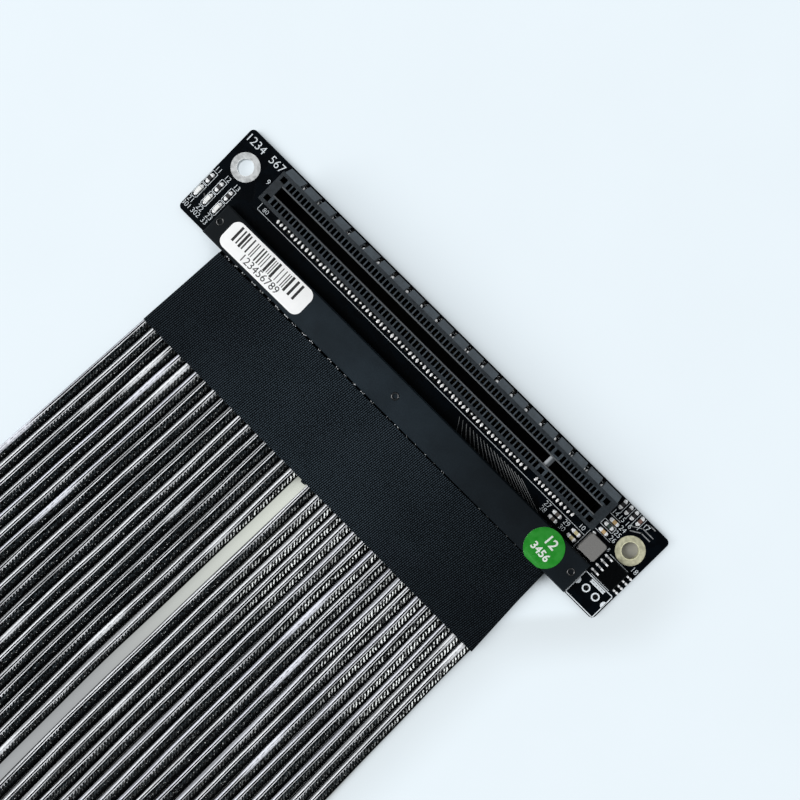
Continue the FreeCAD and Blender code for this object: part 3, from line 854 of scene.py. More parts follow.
def print_finish(name, colour):
    """Printed ink, a little worn and uneven."""
    graph = Graph(name)
    cover = graph.span(graph.noise(0.16, detail=4.0), 0.3, 0.62)
    graph.feed("Base Color", graph.mix(cover, shade(colour, 0.62), colour))
    graph.feed("Roughness", graph.span(cover, 0.0, 1.0, 0.7, 0.5))
    return graph.material


def strip_finish(colour):
    """Satin moulded strip, a little cloudy, with a painted reflection that makes it lighter along its
    middle.
    """
    graph = Graph("strip_plastic")
    along = graph.split(graph.position())[0]
    # Painted reflection: the strip lighter in its middle and darker toward both ends.
    rise = graph.span(along, -50.0, -18.0, 0.45, 1.65)
    fall = graph.span(along, -2.0, 30.0, 1.0, 0.45)
    cloud = graph.span(graph.noise(6.0), *NOISE_SPREAD, 0.85, 1.15)
    grain = graph.noise(0.18)
    tone = graph.times(rise, fall, cloud, graph.span(grain, *NOISE_SPREAD, 0.9, 1.1))
    graph.feed("Base Color", graph.toned(tone, colour, 2.0))
    graph.feed("Roughness", graph.span(grain, *NOISE_SPREAD, 0.42, 0.52))
    graph.relief(grain, 0.012)
    graph.set(Specular_IOR_Level=0.1)
    return graph.material


def tape_finish(groove, rib):
    """Woven cloth tape: fine ribs a little aslant to the cables, each beaded by the cross threads."""
    graph = Graph("woven_tape")
    across, along, _ = graph.split(graph.position(turn=math.radians(RIB_TURN)))
    drift = graph.times(graph.noise(9.0), 0.5)
    turns = graph.times(graph.plus(across, drift), FULL_TURN / RIB_PITCH)
    ribs = graph.math("SINE", turns)
    odd = graph.math("SINE", graph.times(turns, 0.5))
    rows = graph.times(along, FULL_TURN / BEAD_PITCH)
    beads = graph.math("SINE", graph.plus(rows, graph.times(odd, 1.6)))
    threads = graph.times(graph.span(ribs, -0.5, 0.9), graph.span(beads, -1.0, 0.6, 0.35, 1.0))

    side = graph.split(graph.position())[0]
    lit = graph.times(graph.span(side, -50.0, -12.0, 0.55, 1.0), graph.span(side, 0.0, 40.0, 1.0, 0.62))
    # The ribs stand out more toward the tape's left side and less toward its right.
    rib_weight = graph.span(side, 0.0, 40.0, 1.15, 0.8)
    cloud = graph.span(graph.noise(11.0), *NOISE_SPREAD, 0.85, 1.15)
    fuzz = graph.span(graph.noise(0.5, detail=4.0), *NOISE_SPREAD, 0.65, 1.35)
    weave = graph.mix(graph.times(threads, rib_weight, cloud, fuzz), groove, rib)
    graph.feed("Base Color", graph.mix(lit, BLACK, weave))
    graph.relief(graph.plus(graph.times(ribs, 0.36), graph.times(beads, 0.16)), 0.05)
    graph.set(Roughness=0.8, Specular_IOR_Level=0.02)
    return graph.material


def cable_finish(jacket, film, braid):
    """Flat cable: clear jacket over film on one lobe and dark braid on the other, with painted highlights.

    The first part of the map is the place across the cable and the second the place along it.
    """
    graph = Graph("cable_jacket")
    surface = graph.nodes.new("ShaderNodeUVMap")
    surface.uv_map = "cable_map"
    across, length, _ = graph.split(surface.outputs["UV"])
    tone = graph.nodes.new("ShaderNodeAttribute")
    tone.attribute_name = "cable_tone"
    film_tone, braid_tone, shift = graph.split(tone.outputs["Vector"])
    along = graph.plus(length, graph.times(shift, PATTERN_SHIFT))

    def patches(grain_across, grain_along, seed):
        """Random patches drawn out along the cable."""
        place = graph.nodes.new("ShaderNodeCombineXYZ")
        graph.put(place.inputs[0], graph.math("DIVIDE", across, grain_across))
        graph.put(place.inputs[1], graph.math("DIVIDE", along, grain_along))
        place.inputs[2].default_value = seed
        return graph.noise(1.0, detail=2.0, where=place.outputs[0])

    sway = graph.minus(patches(ALL_ACROSS, 30.0, seed=3.0), 0.5)
    swayed = graph.plus(across, graph.times(sway, CABLE_SWAY))
    covered = graph.span(length, *COVER_STARTS)

    # Painted highlight: the film's bright band, lightest at its right edge.
    streaks = graph.span(patches(0.22, 22.0, seed=0.0), 0.34, 0.66, 0.65, 1.2)
    widths = graph.span(patches(ALL_ACROSS, 60.0, seed=13.0), 0.32, 0.7, 0.2, 0.55)
    past_film = graph.minus(graph.plus(swayed, FILM_REACH), graph.times(widths, film_tone))
    on_film = graph.times(graph.span(swayed, *FILM_EDGE), graph.span(past_film, -0.015, 0.015, 1.0, 0.0))
    highlight_edge = graph.span(past_film, -0.32, -0.14, 0.28, 1.3)
    film_highlight = graph.times(covered, on_film, highlight_edge, streaks, film_tone)

    # Painted highlight: a thin bright line beside the film.
    line_fade = graph.span(patches(ALL_ACROSS, 14.0, seed=7.0), 0.36, 0.6, 0.5, 1.15)
    line_highlight = graph.times(covered, graph.band(past_film, *LINE_SIDES, 0.015), line_fade)

    # Painted glints: bright strands and specks on the braid.
    loose = graph.times(patches(0.6, 1.4, seed=11.0), STRAND_LOOSE)
    lean = graph.times(across, STRAND_LEAN)
    twist = graph.plus(graph.times(along, FULL_TURN / STRAND_PITCH), lean, loose)
    strands = graph.span(graph.math("SINE", twist), 0.15, 0.55)
    patchy = graph.span(patches(0.6, 1.3, seed=5.0), 0.38, 0.6, 0.05, 1.5)
    reach = graph.plus(length, graph.times(patches(ALL_ACROSS, 30.0, seed=23.0), 24.0))
    near_tape = graph.span(reach, 47.0, 70.0, 1.0, 0.03)
    bare = graph.times(graph.minus(1.0, covered), 0.15)
    shine = graph.most(graph.times(braid_tone, near_tape), bare)
    glint_specks = graph.span(patches(0.25, 0.4, seed=21.0), 0.64, 0.7, 0.0, 0.45)
    on_braid = graph.band(swayed, *BRAID_SIDES, 0.05)
    braid_glints = graph.times(on_braid, graph.plus(graph.times(strands, patchy, shine), glint_specks))

    # Painted highlight: a row of bright beads beside the line.
    bead_runs = graph.span(patches(ALL_ACROSS, 16.0, seed=17.0), 0.5, 0.62)
    bead_highlight = graph.times(covered, graph.band(past_film, *BEAD_SIDES, 0.03), bead_runs, strands, 0.6)

    # Painted highlight: wide pale sheets of loose film on some stretches.
    slack = graph.span(patches(ALL_ACROSS, 34.0, seed=31.0), 0.59, 0.68)
    crumple = graph.span(patches(0.16, 0.9, seed=37.0), 0.35, 0.65, 0.35, 0.95)
    sheet_highlight = graph.times(covered, slack, graph.band(swayed, *SHEET_SIDES, 0.06), crumple)

    fall = graph.times(graph.span(swayed, -0.3, -0.1), graph.span(swayed, 0.0, 0.9, 1.0, 0.1))
    mottle = graph.span(patches(0.5, 0.8, seed=9.0), 0.36, 0.64)
    twisted = graph.span(strands, 0.0, 1.0, 0.55, 1.15)
    dim = graph.span(shine, 0.1, 0.5, 0.03, 0.01)
    base = graph.mix(graph.times(fall, mottle, twisted, dim), jacket, JACKET_GLOW)

    tinted = graph.mix(graph.span(shift, 0.55, 1.0), film, LILAC_FILM)
    layers = (
        (film_highlight, tinted),
        (line_highlight, film),
        (bead_highlight, film),
        (sheet_highlight, tinted),
        (braid_glints, braid),
    )
    for share, colour in layers:
        base = graph.mix(graph.math("MINIMUM", share, 1.0), base, colour)
    graph.feed("Base Color", base)
    graph.feed("Roughness", graph.span(across, -0.05, 0.1, 0.22, 0.3))
    graph.relief(graph.times(strands, on_braid), 0.025)
    graph.set(Specular_IOR_Level=0.015)
    return graph.material


def floor_finish(colour, shaded, gap, evenness):
    """Evenly lit pale table top, with painted shade round the cables and board and under the right screw
    hole.
    """
    graph = Graph("pale_table")
    x, y, _ = graph.split(graph.position())
    occlusion = graph.nodes.new("ShaderNodeAmbientOcclusion")
    occlusion.inputs["Distance"].default_value = TABLE_SHADE_REACH * MM
    clear = occlusion.outputs["AO"]

    def through_hole(side):
        """One on the table under a screw hole of the board."""
        hole = on_board(side * SCREW_REACH, SCREW_INSET) / MM
        across = graph.math("POWER", graph.minus(x, hole.x), 2.0)
        along = graph.math("POWER", graph.minus(y, hole.y), 2.0)
        return graph.span(graph.math("SQRT", graph.plus(across, along)), *TABLE_HOLE, 1.0, 0.0)

    in_gap = graph.times(graph.band(x, *TABLE_GAP, 2.0), graph.band(y, *TABLE_GAP_RUN, 4.0))
    # Painted shade near the cables, right of them and of the board, and under the right screw hole.
    from_left = graph.span(x, -48.0, -25.0)
    to_tape = graph.span(y, -110.0, -30.0, 1.0, 0.12)
    by_cables = graph.times(from_left, to_tape, graph.span(clear, 0.5, 1.0, 1.0, 0.0))
    offset = graph.minus(x, graph.span(y, -32.0, -4.0, *TABLE_SIDES))
    hem = graph.times(graph.span(offset, -6.0, -2.0), graph.span(offset, -1.0, 12.0, 0.19, 0.0))
    beside = graph.times(hem, graph.span(y, -2.0, 16.0, 1.0, 0.0), graph.span(y, -170.0, -125.0))
    dimmed = graph.most(by_cables, through_hole(1), beside)
    tone = graph.mix(graph.span(graph.noise(30.0), *NOISE_SPREAD), shade(colour, 0.99), colour)
    tone = graph.mix(dimmed, tone, shaded)
    # Painted shade in the gap between the groups, darker far from the tape.
    enclosed = graph.times(in_gap, graph.span(clear, 0.85, 0.97, 1.0, 0.0))
    tone = graph.mix(enclosed, tone, graph.mix(graph.span(y, -100.0, -28.0), *gap))
    graph.feed("Base Color", tone)
    graph.set(Roughness=0.75, Specular_IOR_Level=0.1)

    rays = graph.nodes.new("ShaderNodeLightPath")
    kinds = ("Is Camera Ray", "Is Glossy Ray", "Is Transmission Ray")
    seen = graph.most(*(rays.outputs[kind] for kind in kinds))
    gap_clear = graph.times(in_gap, graph.span(clear, 0.1, 0.45))
    evened = graph.most(graph.span(clear, 0.35, 0.8), through_hole(-1), gap_clear)
    even = graph.nodes.new("ShaderNodeEmission")
    graph.links.new(tone, even.inputs["Color"])
    blend = graph.nodes.new("ShaderNodeMixShader")
    graph.links.new(graph.times(seen, evened, evenness), blend.inputs[0])
    graph.links.new(graph.shader.outputs[0], blend.inputs[1])
    graph.links.new(even.outputs[0], blend.inputs[2])
    graph.links.new(blend.outputs[0], graph.nodes["Material Output"].inputs["Surface"])
    return graph.material


class BoardLooks(bpy.types.PropertyGroup):
    """Sizes and colours of the boards, their print and their chips."""

    mask: FloatVectorProperty(
        name="Solder mask", description="Colour of both boards", subtype="COLOR", size=3,
        min=0, max=1, default=(0.0006, 0.0016, 0.0028),
    )
    silk: FloatVectorProperty(
        name="Print", description="Colour of the lines and numbers on the board", subtype="COLOR", size=3,
        min=0, max=1, default=(0.79, 0.85, 0.89),
    )
    trace: FloatVectorProperty(
        name="Copper lines", description="Colour of copper lines under the mask", subtype="COLOR", size=3,
        min=0, max=1, default=(0.27, 0.28, 0.285),
    )
    tin: FloatVectorProperty(
        name="Tin", description="Colour of solder, chip ends and leads", subtype="COLOR", size=3,
        min=0, max=1, default=(0.95, 0.965, 0.975),
    )
    left_ring: FloatVectorProperty(
        name="Left ring", description="Plating of the left screw hole", subtype="COLOR", size=3,
        min=0, max=1, default=(0.56, 0.58, 0.585),
    )
    right_ring: FloatVectorProperty(
        name="Right ring", description="Plating of the right screw hole", subtype="COLOR", size=3,
        min=0, max=1, default=(0.55, 0.54, 0.38),
    )
    inductor: FloatVectorProperty(
        name="Inductor", description="Pressed ferrite of the power inductor", subtype="COLOR", size=3,
        min=0, max=1, default=(0.175, 0.172, 0.166),
    )
    line_width: FloatProperty(
        name="Line width", description="Width of the printed lines", unit="LENGTH",
        min=0.00005, max=0.001, default=0.00012,
    )
    print_thick: FloatProperty(
        name="Print thickness", description="Height of the print above the mask", unit="LENGTH",
        min=0.000005, max=0.0001, default=0.00002,
    )
    ring_diameter: FloatProperty(
        name="Ring diameter", description="Outside of the plated rings", unit="LENGTH",
        min=0.004, max=0.01, default=0.006,
    )


class SlotLooks(bpy.types.PropertyGroup):
    """Colours of the slot and of the strips with their papers."""

    plastic: FloatVectorProperty(
        name="Slot plastic", description="Moulded slot housing", subtype="COLOR", size=3,
        min=0, max=1, default=(0.0165, 0.0218, 0.0268),
    )
    # The rim colour is a painted highlight on the rims of the card gap and on the key.
    rim: FloatVectorProperty(
        name="Slot rim", description="Painted highlight on the rims of the card gap and the key", subtype="COLOR", size=3,
        min=0, max=1, default=(0.16, 0.17, 0.18),
    )
    gold: FloatVectorProperty(
        name="Gold", description="Plating of contacts and fingers", subtype="COLOR", size=3,
        min=0, max=1, default=(0.83, 0.62, 0.27),
    )
    strip: FloatVectorProperty(
        name="Strip plastic", description="Moulded strips over the solder joints", subtype="COLOR", size=3,
        min=0, max=1, default=(0.0082, 0.0125, 0.0165),
    )
    paper: FloatVectorProperty(
        name="Paper", description="White label", subtype="COLOR", size=3,
        min=0, max=1, default=(0.985, 0.99, 0.99),
    )
    ink: FloatVectorProperty(
        name="Ink", description="Bars and number of the label", subtype="COLOR", size=3,
        min=0, max=1, default=(0.008, 0.008, 0.009),
    )
    sticker: FloatVectorProperty(
        name="Sticker", description="Green round sticker", subtype="COLOR", size=3,
        min=0, max=1, default=(0.0095, 0.25, 0.014),
    )


class CableLooks(bpy.types.PropertyGroup):
    """Colours of the cables and the tape."""

    jacket: FloatVectorProperty(
        name="Jacket", description="Dark ground of the cables", subtype="COLOR", size=3,
        min=0, max=1, default=(0.0008, 0.0009, 0.001),
    )
    # The film's colour is that of its painted highlight.
    film: FloatVectorProperty(
        name="Film", description="Bright film on each cable's left lobe", subtype="COLOR", size=3,
        min=0, max=1, default=(0.92, 0.94, 0.97),
    )
    braid: FloatVectorProperty(
        name="Braid", description="Glinting strands on each cable's right lobe", subtype="COLOR", size=3,
        min=0, max=1, default=(0.93, 0.97, 0.95),
    )
    groove: FloatVectorProperty(
        name="Tape groove", description="Dark of the tape's weave", subtype="COLOR", size=3,
        min=0, max=1, default=(0.0004, 0.0006, 0.0008),
    )
    rib: FloatVectorProperty(
        name="Tape rib", description="Light of the tape's weave", subtype="COLOR", size=3,
        min=0, max=1, default=(0.041, 0.057, 0.072),
    )
    wobble: FloatProperty(
        name="Wobble", description="How far a cable wanders from its line", unit="LENGTH",
        min=0, max=0.0005, default=0.00008,
    )


class StageLooks(bpy.types.PropertyGroup):
    """Camera, table and light."""

    camera_place: FloatVectorProperty(
        name="Camera", description="Place of the camera", subtype="TRANSLATION", unit="LENGTH", size=3,
        default=(0.00723, 0.0086, 0.25582),
    )
    camera_right: FloatVectorProperty(
        name="Picture right", description="Direction of the picture's right side", subtype="DIRECTION",
        size=3, default=(0.70726, 0.70429, -0.06119),
    )
    camera_down: FloatVectorProperty(
        name="Picture down", description="Direction of the picture's lower side", subtype="DIRECTION",
        size=3, default=(0.70647, -0.7073, 0.02498),
    )
    lens: FloatProperty(
        name="Lens", description="Focal length of the camera", subtype="DISTANCE_CAMERA",
        min=20, max=200, default=57.95,
    )
    table: FloatVectorProperty(
        name="Table", description="Colour of the table", subtype="COLOR", size=3,
        min=0, max=1, default=(0.845, 0.93, 0.985),
    )
    table_shade: FloatVectorProperty(
        name="Table in shade", description="Table where the cables shade it", subtype="COLOR", size=3,
        min=0, max=1, default=(0.33, 0.325, 0.3),
    )
    # Both gap colours are painted shade on the table between the groups of cables.
    gap_shade_far: FloatVectorProperty(
        name="Gap, far", description="Table between the cables, far from the tape", subtype="COLOR", size=3,
        min=0, max=1, default=(0.4, 0.413, 0.422),
    )
    gap_shade_near: FloatVectorProperty(
        name="Gap, near", description="Table between the cables, near the tape", subtype="COLOR", size=3,
        min=0, max=1, default=(0.75, 0.787, 0.715),
    )
    evenness: FloatProperty(
        name="Even table", description="How little the table shows of light and shadow", subtype="FACTOR",
        min=0, max=1, default=0.75,
    )
    window_power: FloatProperty(
        name="Window", description="Power of the large soft light", subtype="POWER",
        min=0, max=500, default=42.0,
    )
    window_place: FloatVectorProperty(
        name="Window place", description="Place of the large soft light", subtype="TRANSLATION",
        unit="LENGTH", size=3, default=(-1.05, -1.15, 1.65),
    )
    second_power: FloatProperty(
        name="Second window", description="Power of the soft light on the slot's side", subtype="POWER",
        min=0, max=500, default=9.0,
    )
    second_place: FloatVectorProperty(
        name="Second place", description="Place of the soft light on the slot's side",
        subtype="TRANSLATION", unit="LENGTH", size=3, default=(0.2, 1.45, 1.75),
    )
    window_size: FloatProperty(
        name="Window size", description="Side of both soft lights", unit="LENGTH",
        min=0.1, max=5, default=1.4,
    )
    room: FloatProperty(
        name="Room", description="Brightness of the room round the cable", min=0, max=3, default=0.5,
    )


def chip(shape, x, inset, turn, size, body, ends):
    """One chip with its two tinned ends, flat on the board."""
    length, width, height = metres(*size)
    centre = on_board(x, inset)
    angle = math.radians(turn)
    run = Vector((math.cos(angle), math.sin(angle), 0))
    cap = length * END_SHARE
    shape.box(centre, (length - 2 * cap, width * BODY_SHARE, height * BODY_SHARE), angle, body)
    for side in (-1, 1):
        shape.box(centre + run * side * (length - cap) / 2, (cap, width, height), angle, ends)


def solder_fillet(shape, x, inset, radii, turn=0.0):
    """A low mound of solder on the board, with half axes along, across and up."""
    shape.dome(on_board(x, inset), metres(*radii), math.radians(turn))


class CABLE_OT_boards(bpy.types.Operator):
    """Finish both boards and plate the screw holes and the plug's fingers"""

    bl_idname = "extension.boards"
    bl_label = "Boards and plating"

    def execute(self, context):
        looks = context.scene.extension_board
        gold = context.scene.extension_slot.gold
        mask = mask_finish(looks.mask)
        dress("socket_board", mask)
        dress("plug_board", mask)
        self.screw_rings(looks)
        self.plug_fingers(gold)
        return {"FINISHED"}

    def screw_rings(self, looks):
        """A plated ring on the board and down the wall of each screw hole, its raised rim a painted
        highlight.
        """
        hole, wall, thick, foot, rim, rim_thick = metres(
            SCREW_RADIUS, RING_WALL, RING_THICK, RING_FOOT, RIM_WIDTH, RIM_THICK
        )
        board = BOARD_HIGH.z
        top = board + thick
        for name, side, colour in (("left", -1, looks.left_ring), ("right", 1, looks.right_ring)):
            dark, light = shade(colour, 0.82), shade(colour, 1.12)
            plating = grained(f"{name}_ring_plating", dark, light, 0.7, 0.4, 0.02, Metallic=0.2)
            # Painted highlight: the rim is a lighter copy of the plating.
            bright = grained(f"{name}_ring_rim_highlight", colour, shade(colour, 1.5), 0.4, 0.35, 0.01)
            shape = Shape()
            centre = on_board(side * SCREW_REACH, SCREW_INSET)
            shape.ring(centre, hole - wall, looks.ring_diameter / 2, board, top)
            shape.ring(centre, hole - wall, hole, foot, board)
            shape.ring(centre, hole - wall, hole + rim, top, top + rim_thick, finish=1)
            make_piece(f"screw_ring_{name}", shape, [plating, bright], smooth=40)

    def plug_fingers(self, gold):
        """Gold fingers on both faces of the plug's tongue."""
        plating = grained("finger_gold", shade(gold, 0.85), gold, 0.8, 0.26, Metallic=1.0)
        first, run, width, thick = metres(FINGER_START, FINGER_RUN, FINGER_WIDTH, FINGER_THICK)
        shape = Shape()
        for x in contact_places():
            for face in (PLUG_HIGH.z, PLUG_LOW.z):
                start = Vector((x * MM, PLUG_LOW.y + first, face - thick / 2))
                shape.bar(start, start + Vector((0, run, 0)), width, thick)
        make_piece("plug_fingers", shape, [plating])


class CABLE_OT_slot(bpy.types.Operator):
    """Finish the slot housing and its contacts and solder the contacts' tails"""

    bl_idname = "extension.slot"
    bl_label = "Card slot"

    def execute(self, context):
        looks = context.scene.extension_slot
        tin = context.scene.extension_board.tin
        dress("slot_housing", housing_finish(looks.plastic, looks.rim))
        soften(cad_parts["slot_housing"], HOUSING_ROUNDING * MM, 1)
        metal = contact_finish(looks.gold, tin)
        dress("slot_contacts_a", metal)
        dress("slot_contacts_b", metal)
        self.tail_solder(tin)
        return {"FINISHED"}

    def tail_solder(self, tin):
        """A mound of solder on every tail of both rows, but the first on the cable side."""
        draws = random.Random(TAIL_SEED)
        solder = solder_finish("tail_solder", shade(tin, 1.3), 0.1)
        shape = Shape()
        for place, x in enumerate(contact_places()):
            low = place in LOW_JOINTS
            if place:
                reach = LOW_JOINT_REACH if low else draws.uniform(*JOINT_REACHES)
                inset = LOW_JOINT_INSET if low else draws.uniform(*JOINT_INSETS)
                stray = draws.uniform(-JOINT_STRAY, JOINT_STRAY)
                radii = metres(draws.uniform(*JOINT_WIDTHS), reach, JOINT_HEIGHT)
                turn = math.radians(draws.uniform(-JOINT_TURN, JOINT_TURN))
                shape.dome(on_board(x + stray, inset, TAIL_THICK * 0.7), radii, turn)
            stray = draws.uniform(-JOINT_STRAY, JOINT_STRAY)
            solder_fillet(shape, x + stray, OUTER_JOINT_INSET, OUTER_JOINT, 90)
        width, thick = metres(LEDGE_LINE_WIDTH, LEDGE_LINE_THICK)
        for step in range(LEDGE_GAPS):
            x = LEDGE_GAP_FIRST + LEDGE_PITCH * step
            start, end = (on_board(x + shift, LEDGE_LINE_INSET) for shift in LEDGE_LINE)
            shape.bar(start, end, width, thick)
        make_piece("slot_tail_solder", shape, [solder], smooth=60)


class CABLE_OT_chips(bpy.types.Operator):
    """Build the small chips and diodes with their tinned ends and solder"""

    bl_idname = "extension.chips"
    bl_label = "Chips and diodes"

    CERAMICS = {
        "tan": (0.56, 0.38, 0.18),
        "straw": (0.6, 0.53, 0.3),
        "brown": (0.2, 0.12, 0.1),
        "umber": (0.1, 0.085, 0.075),
        "green": (0.035, 0.06, 0.05),
        "black": (0.02, 0.02, 0.022),
    }

    def execute(self, context):
        tin = context.scene.extension_board.tin
        ends = solder_finish("chip_tin", tin)
        joints = Shape()
        finishes = [ends]
        places = {}
        for name, colour in self.CERAMICS.items():
            places[name] = len(finishes)
            finishes.append(grained(f"ceramic_{name}", shade(colour, 0.85), colour, 0.12, 0.45, 0.01))
        led_resistors = [(x, LED_RESISTOR_INSET, 90, "black") for x in LED_COLUMNS]
        for node, chips, size in (
            ("chip_capacitors", CAPACITORS, CAPACITOR_SIZE),
            ("chip_resistors", RESISTORS, RESISTOR_SIZE),
            ("led_resistors", led_resistors, RESISTOR_SIZE),
        ):
            shape = Shape()
            for x, inset, turn, ceramic in chips:
                chip(shape, x, inset, turn, size, places[ceramic], 0)
                self.end_joints(joints, x, inset, turn)
            piece = make_piece(node + "_dressed", shape, finishes)
            soften(piece, CHIP_ROUNDING * MM)
            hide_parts(node)
        self.diodes(joints, ends)
        for x, inset in INDUCTOR_JOINTS:
            solder_fillet(joints, x, inset, INDUCTOR_JOINT)
        make_piece("chip_solder", joints, [ends], smooth=60)
        return {"FINISHED"}

    def end_joints(self, joints, x, inset, turn):
        """Solder at both ends of a chip."""
        for reach in (-CHIP_JOINT_REACH, CHIP_JOINT_REACH):
            if turn == 0:
                solder_fillet(joints, x + reach, inset, CHIP_JOINT, turn)
            else:
                solder_fillet(joints, x, inset + reach, CHIP_JOINT, turn)

    def diodes(self, joints, ends):
        """Three white diodes, each a base with two tinned ends and a cap between them."""
        white = grained("diode_white", *DIODE_WHITE, 0.4, 0.3, Coat_Weight=0.4)
        base = metres(*DIODE_BASE)
        shape = Shape()
        for x in LED_COLUMNS:
            centre = on_board(x, LED_INSET)
            shape.box(centre, base)
            shape.box(centre + Vector((0, 0, base[2])), metres(*DIODE_CAP))
            for side in (-1, 1):
                end = centre + Vector((0, side * DIODE_END_REACH * MM, base[2]))
                shape.box(end, metres(*DIODE_END), finish=1)
                solder_fillet(joints, x, LED_INSET + side * DIODE_JOINT_REACH, DIODE_JOINT)
        piece = make_piece("status_diodes", shape, [white, ends])
        soften(piece, DIODE_ROUNDING * MM)
        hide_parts("status_leds")


class CABLE_OT_power(bpy.types.Operator):
    """Finish the inductor and the regulator and tin the regulator's pads"""

    bl_idname = "extension.power"
    bl_label = "Power parts"

    def execute(self, context):
        looks = context.scene.extension_board
        dark, light = shade(looks.inductor, 0.9), shade(looks.inductor, 1.08)
        ferrite = grained("pressed_ferrite", dark, light, 0.2, 0.55, 0.02)
        dress("power_inductor", ferrite)
        soften(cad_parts["power_inductor"], INDUCTOR_ROUNDING * MM, 3)
        moulded = grained("moulded_black", *MOULDED_BLACK, 0.15, 0.4, 0.01, Specular_IOR_Level=0.05)
        dress("regulator_ic", moulded)
        leads = lead_finish(looks.tin)
        for node in ("regulator_leads", "socket_wire_tips", "plug_wire_tips"):
            dress(node, leads)
        self.pads(solder_finish("pad_tin", looks.tin))
        return {"FINISHED"}

    def pads(self, solder):
        """Tinned pads in line with the regulator's leads, and solder at the leads' feet."""
        shape = Shape()
        for step in range(LEADS_PER_SIDE):
            inset = REGULATOR[1] + (step - (LEADS_PER_SIDE - 1) / 2) * LEAD_PITCH
            for reach in PAD_REACHES:
                solder_fillet(shape, REGULATOR[0] + reach, inset, PAD_JOINT)
        make_piece("regulator_pads", shape, [solder], smooth=60)


class CABLE_OT_print(bpy.types.Operator):
    """Print the lines and plain numbers on the board and lay the copper lines"""

    bl_idname = "extension.print"
    bl_label = "Board print"

    def execute(self, context):
        looks = context.scene.extension_board
        self.silk(looks)
        self.header(looks)
        self.copper(looks)
        return {"FINISHED"}

    def silk(self, looks):
        """White line work: edges of the slot, boxes round the chips, and numbers."""
        lines = print_finish("board_lines", shade(looks.silk, 0.76))
        ink = print_finish("board_numbers", looks.silk)
        width = looks.line_width
        thick = looks.print_thick
        shape = Shape()
        for x0, inset0, x1, inset1 in SILK_LINES:
            shape.bar(on_board(x0, inset0), on_board(x1, inset1), width, thick)
        for x0, inset0, x1, inset1 in DOTTED_LINES:
            self.dots(shape, on_board(x0, inset0), on_board(x1, inset1), width, thick)
        for x in LED_COLUMNS:
            self.diode_box(shape, x, width, thick)
        weight = -FIGURE_THINNING * MM
        for text, x, inset, height in SILK_NUMBERS:
            shape.number(text, on_board(x, inset), height * MM, thick, finish=1, weight=weight)
        make_piece("board_print", shape, [lines, ink])

    def dots(self, shape, start, end, width, thick):
        """A dotted line."""
        run = end - start
        step = DOT_STEP * width
        direction = run.normalized()
        for number in range(int(run.length / step)):
            first = start + direction * number * step
            shape.bar(first, first + direction * width * DOT_LENGTH, width, thick)

    def outline(self, shape, corners, width, thick, finish=0):
        """Printed lines from each corner to the next, and from the last to the first."""
        for start, end in zip(corners, corners[1:] + corners[:1]):
            shape.bar(on_board(*start), on_board(*end), width, thick, finish)

    def diode_box(self, shape, x, width, thick):
        """The boxes round a diode and its resistor, the lower one with cut corners."""
        left, right = x - DIODE_BOX_HALF, x + DIODE_BOX_HALF
        cut = DIODE_BOX_CUT
        top, bottom = RESISTOR_BOX
        upper = [(left, top), (right, top), (right, bottom), (left, bottom)]
        top, bottom = DIODE_BOX
        lower = [(left, top), (right, top), (right, bottom - cut)]
        lower += [(right - cut, bottom), (left + cut, bottom), (left, bottom - cut)]
        for corners in (upper, lower):
            self.outline(shape, corners, width, thick, 1)

    def header(self, looks):
        """Outline of the power header's place with its bar, half rounds and a ring at each pin hole."""
        ink = print_finish("header_print", shade(looks.silk, 1.1))
        thick = looks.print_thick
        board = BOARD_HIGH.z
        left, top, right, bottom = HEADER_BOX
        shape = Shape()
        corners = [(left, top), (right, top), (right, bottom), (left, bottom)]
        self.outline(shape, corners, HEADER_LINE_SHARE * looks.line_width, thick)
        for inset in HEADER_BAR_INSETS:
            shape.box(on_board(HEADER_MIDDLE, inset), (*metres(*HEADER_BAR), thick))
        for step in range(HEADER_DASHES):
            x = HEADER_MIDDLE + (step - HEADER_DASHES // 2) * HEADER_DASH_PITCH
            shape.box(on_board(x, HEADER_DASH_INSET), (*metres(*HEADER_DASH), thick))
        for x, side in ((left, HEADER_ROUND), (right, -HEADER_ROUND)):
            half_round = []
            for angle in np.linspace(0, math.pi, 16):
                point = on_board(x + side * math.sin(angle), HEADER_PIN_INSET + side * math.cos(angle))
                half_round.append((point.x, point.y))
            shape.prism(half_round, board, board + thick)
        inner, outer = metres(*HEADER_RING)
        for x in HEADER_HOLES:
            shape.ring(on_board(x, HEADER_PIN_INSET), inner, outer, board, board + 2 * thick, 32)
        make_piece("header_print", shape, [ink])

    def copper(self, looks):
        """Raised copper lines under the mask."""
        copper = copper_finish(looks.trace)
        width, fan_width, thick = metres(TRACE_WIDTH, FAN_WIDTH, COPPER_THICK)
        shape = Shape()
        for points in TRACES:
            for start, end in zip(points, points[1:]):
                shape.bar(on_board(*start), on_board(*end), width, thick)
        for step in range(FAN_COUNT):
            x = FAN_FIRST + step * FAN_STEP
            run = FAN_RUNS[0] + (FAN_RUNS[1] - FAN_RUNS[0]) * step / (FAN_COUNT - 1)
            shape.bar(on_board(x - run, FAN_INSETS[0]), on_board(x, FAN_INSETS[1]), fan_width, thick)
        make_piece("board_copper", shape, [copper])


class CABLE_OT_strips(bpy.types.Operator):
    """Finish both strips and lay a bead in each round mark"""

    bl_idname = "extension.strips"
    bl_label = "Strips"

    def execute(self, context):
        looks = context.scene.extension_slot
        plastic = strip_finish(looks.strip)
        dark = shade(looks.strip, 0.3)
        pip = grained("strip_pip", dark, shade(dark, 1.5), 0.2, 0.2, 0.006, Specular_IOR_Level=1.0)
        dress("socket_cover", plastic)
        dress("plug_cover", plastic)
        shape = Shape()
        for x, inset in MARKS:
            centre = on_board(x, inset)
            centre.z = STRIP_HIGH.z - PIP_THICK * MM
            shape.bead(centre, PIP_RADIUS * MM, PIP_THICK * MM)
        make_piece("strip_pips", shape, [pip], smooth=60)
        return {"FINISHED"}


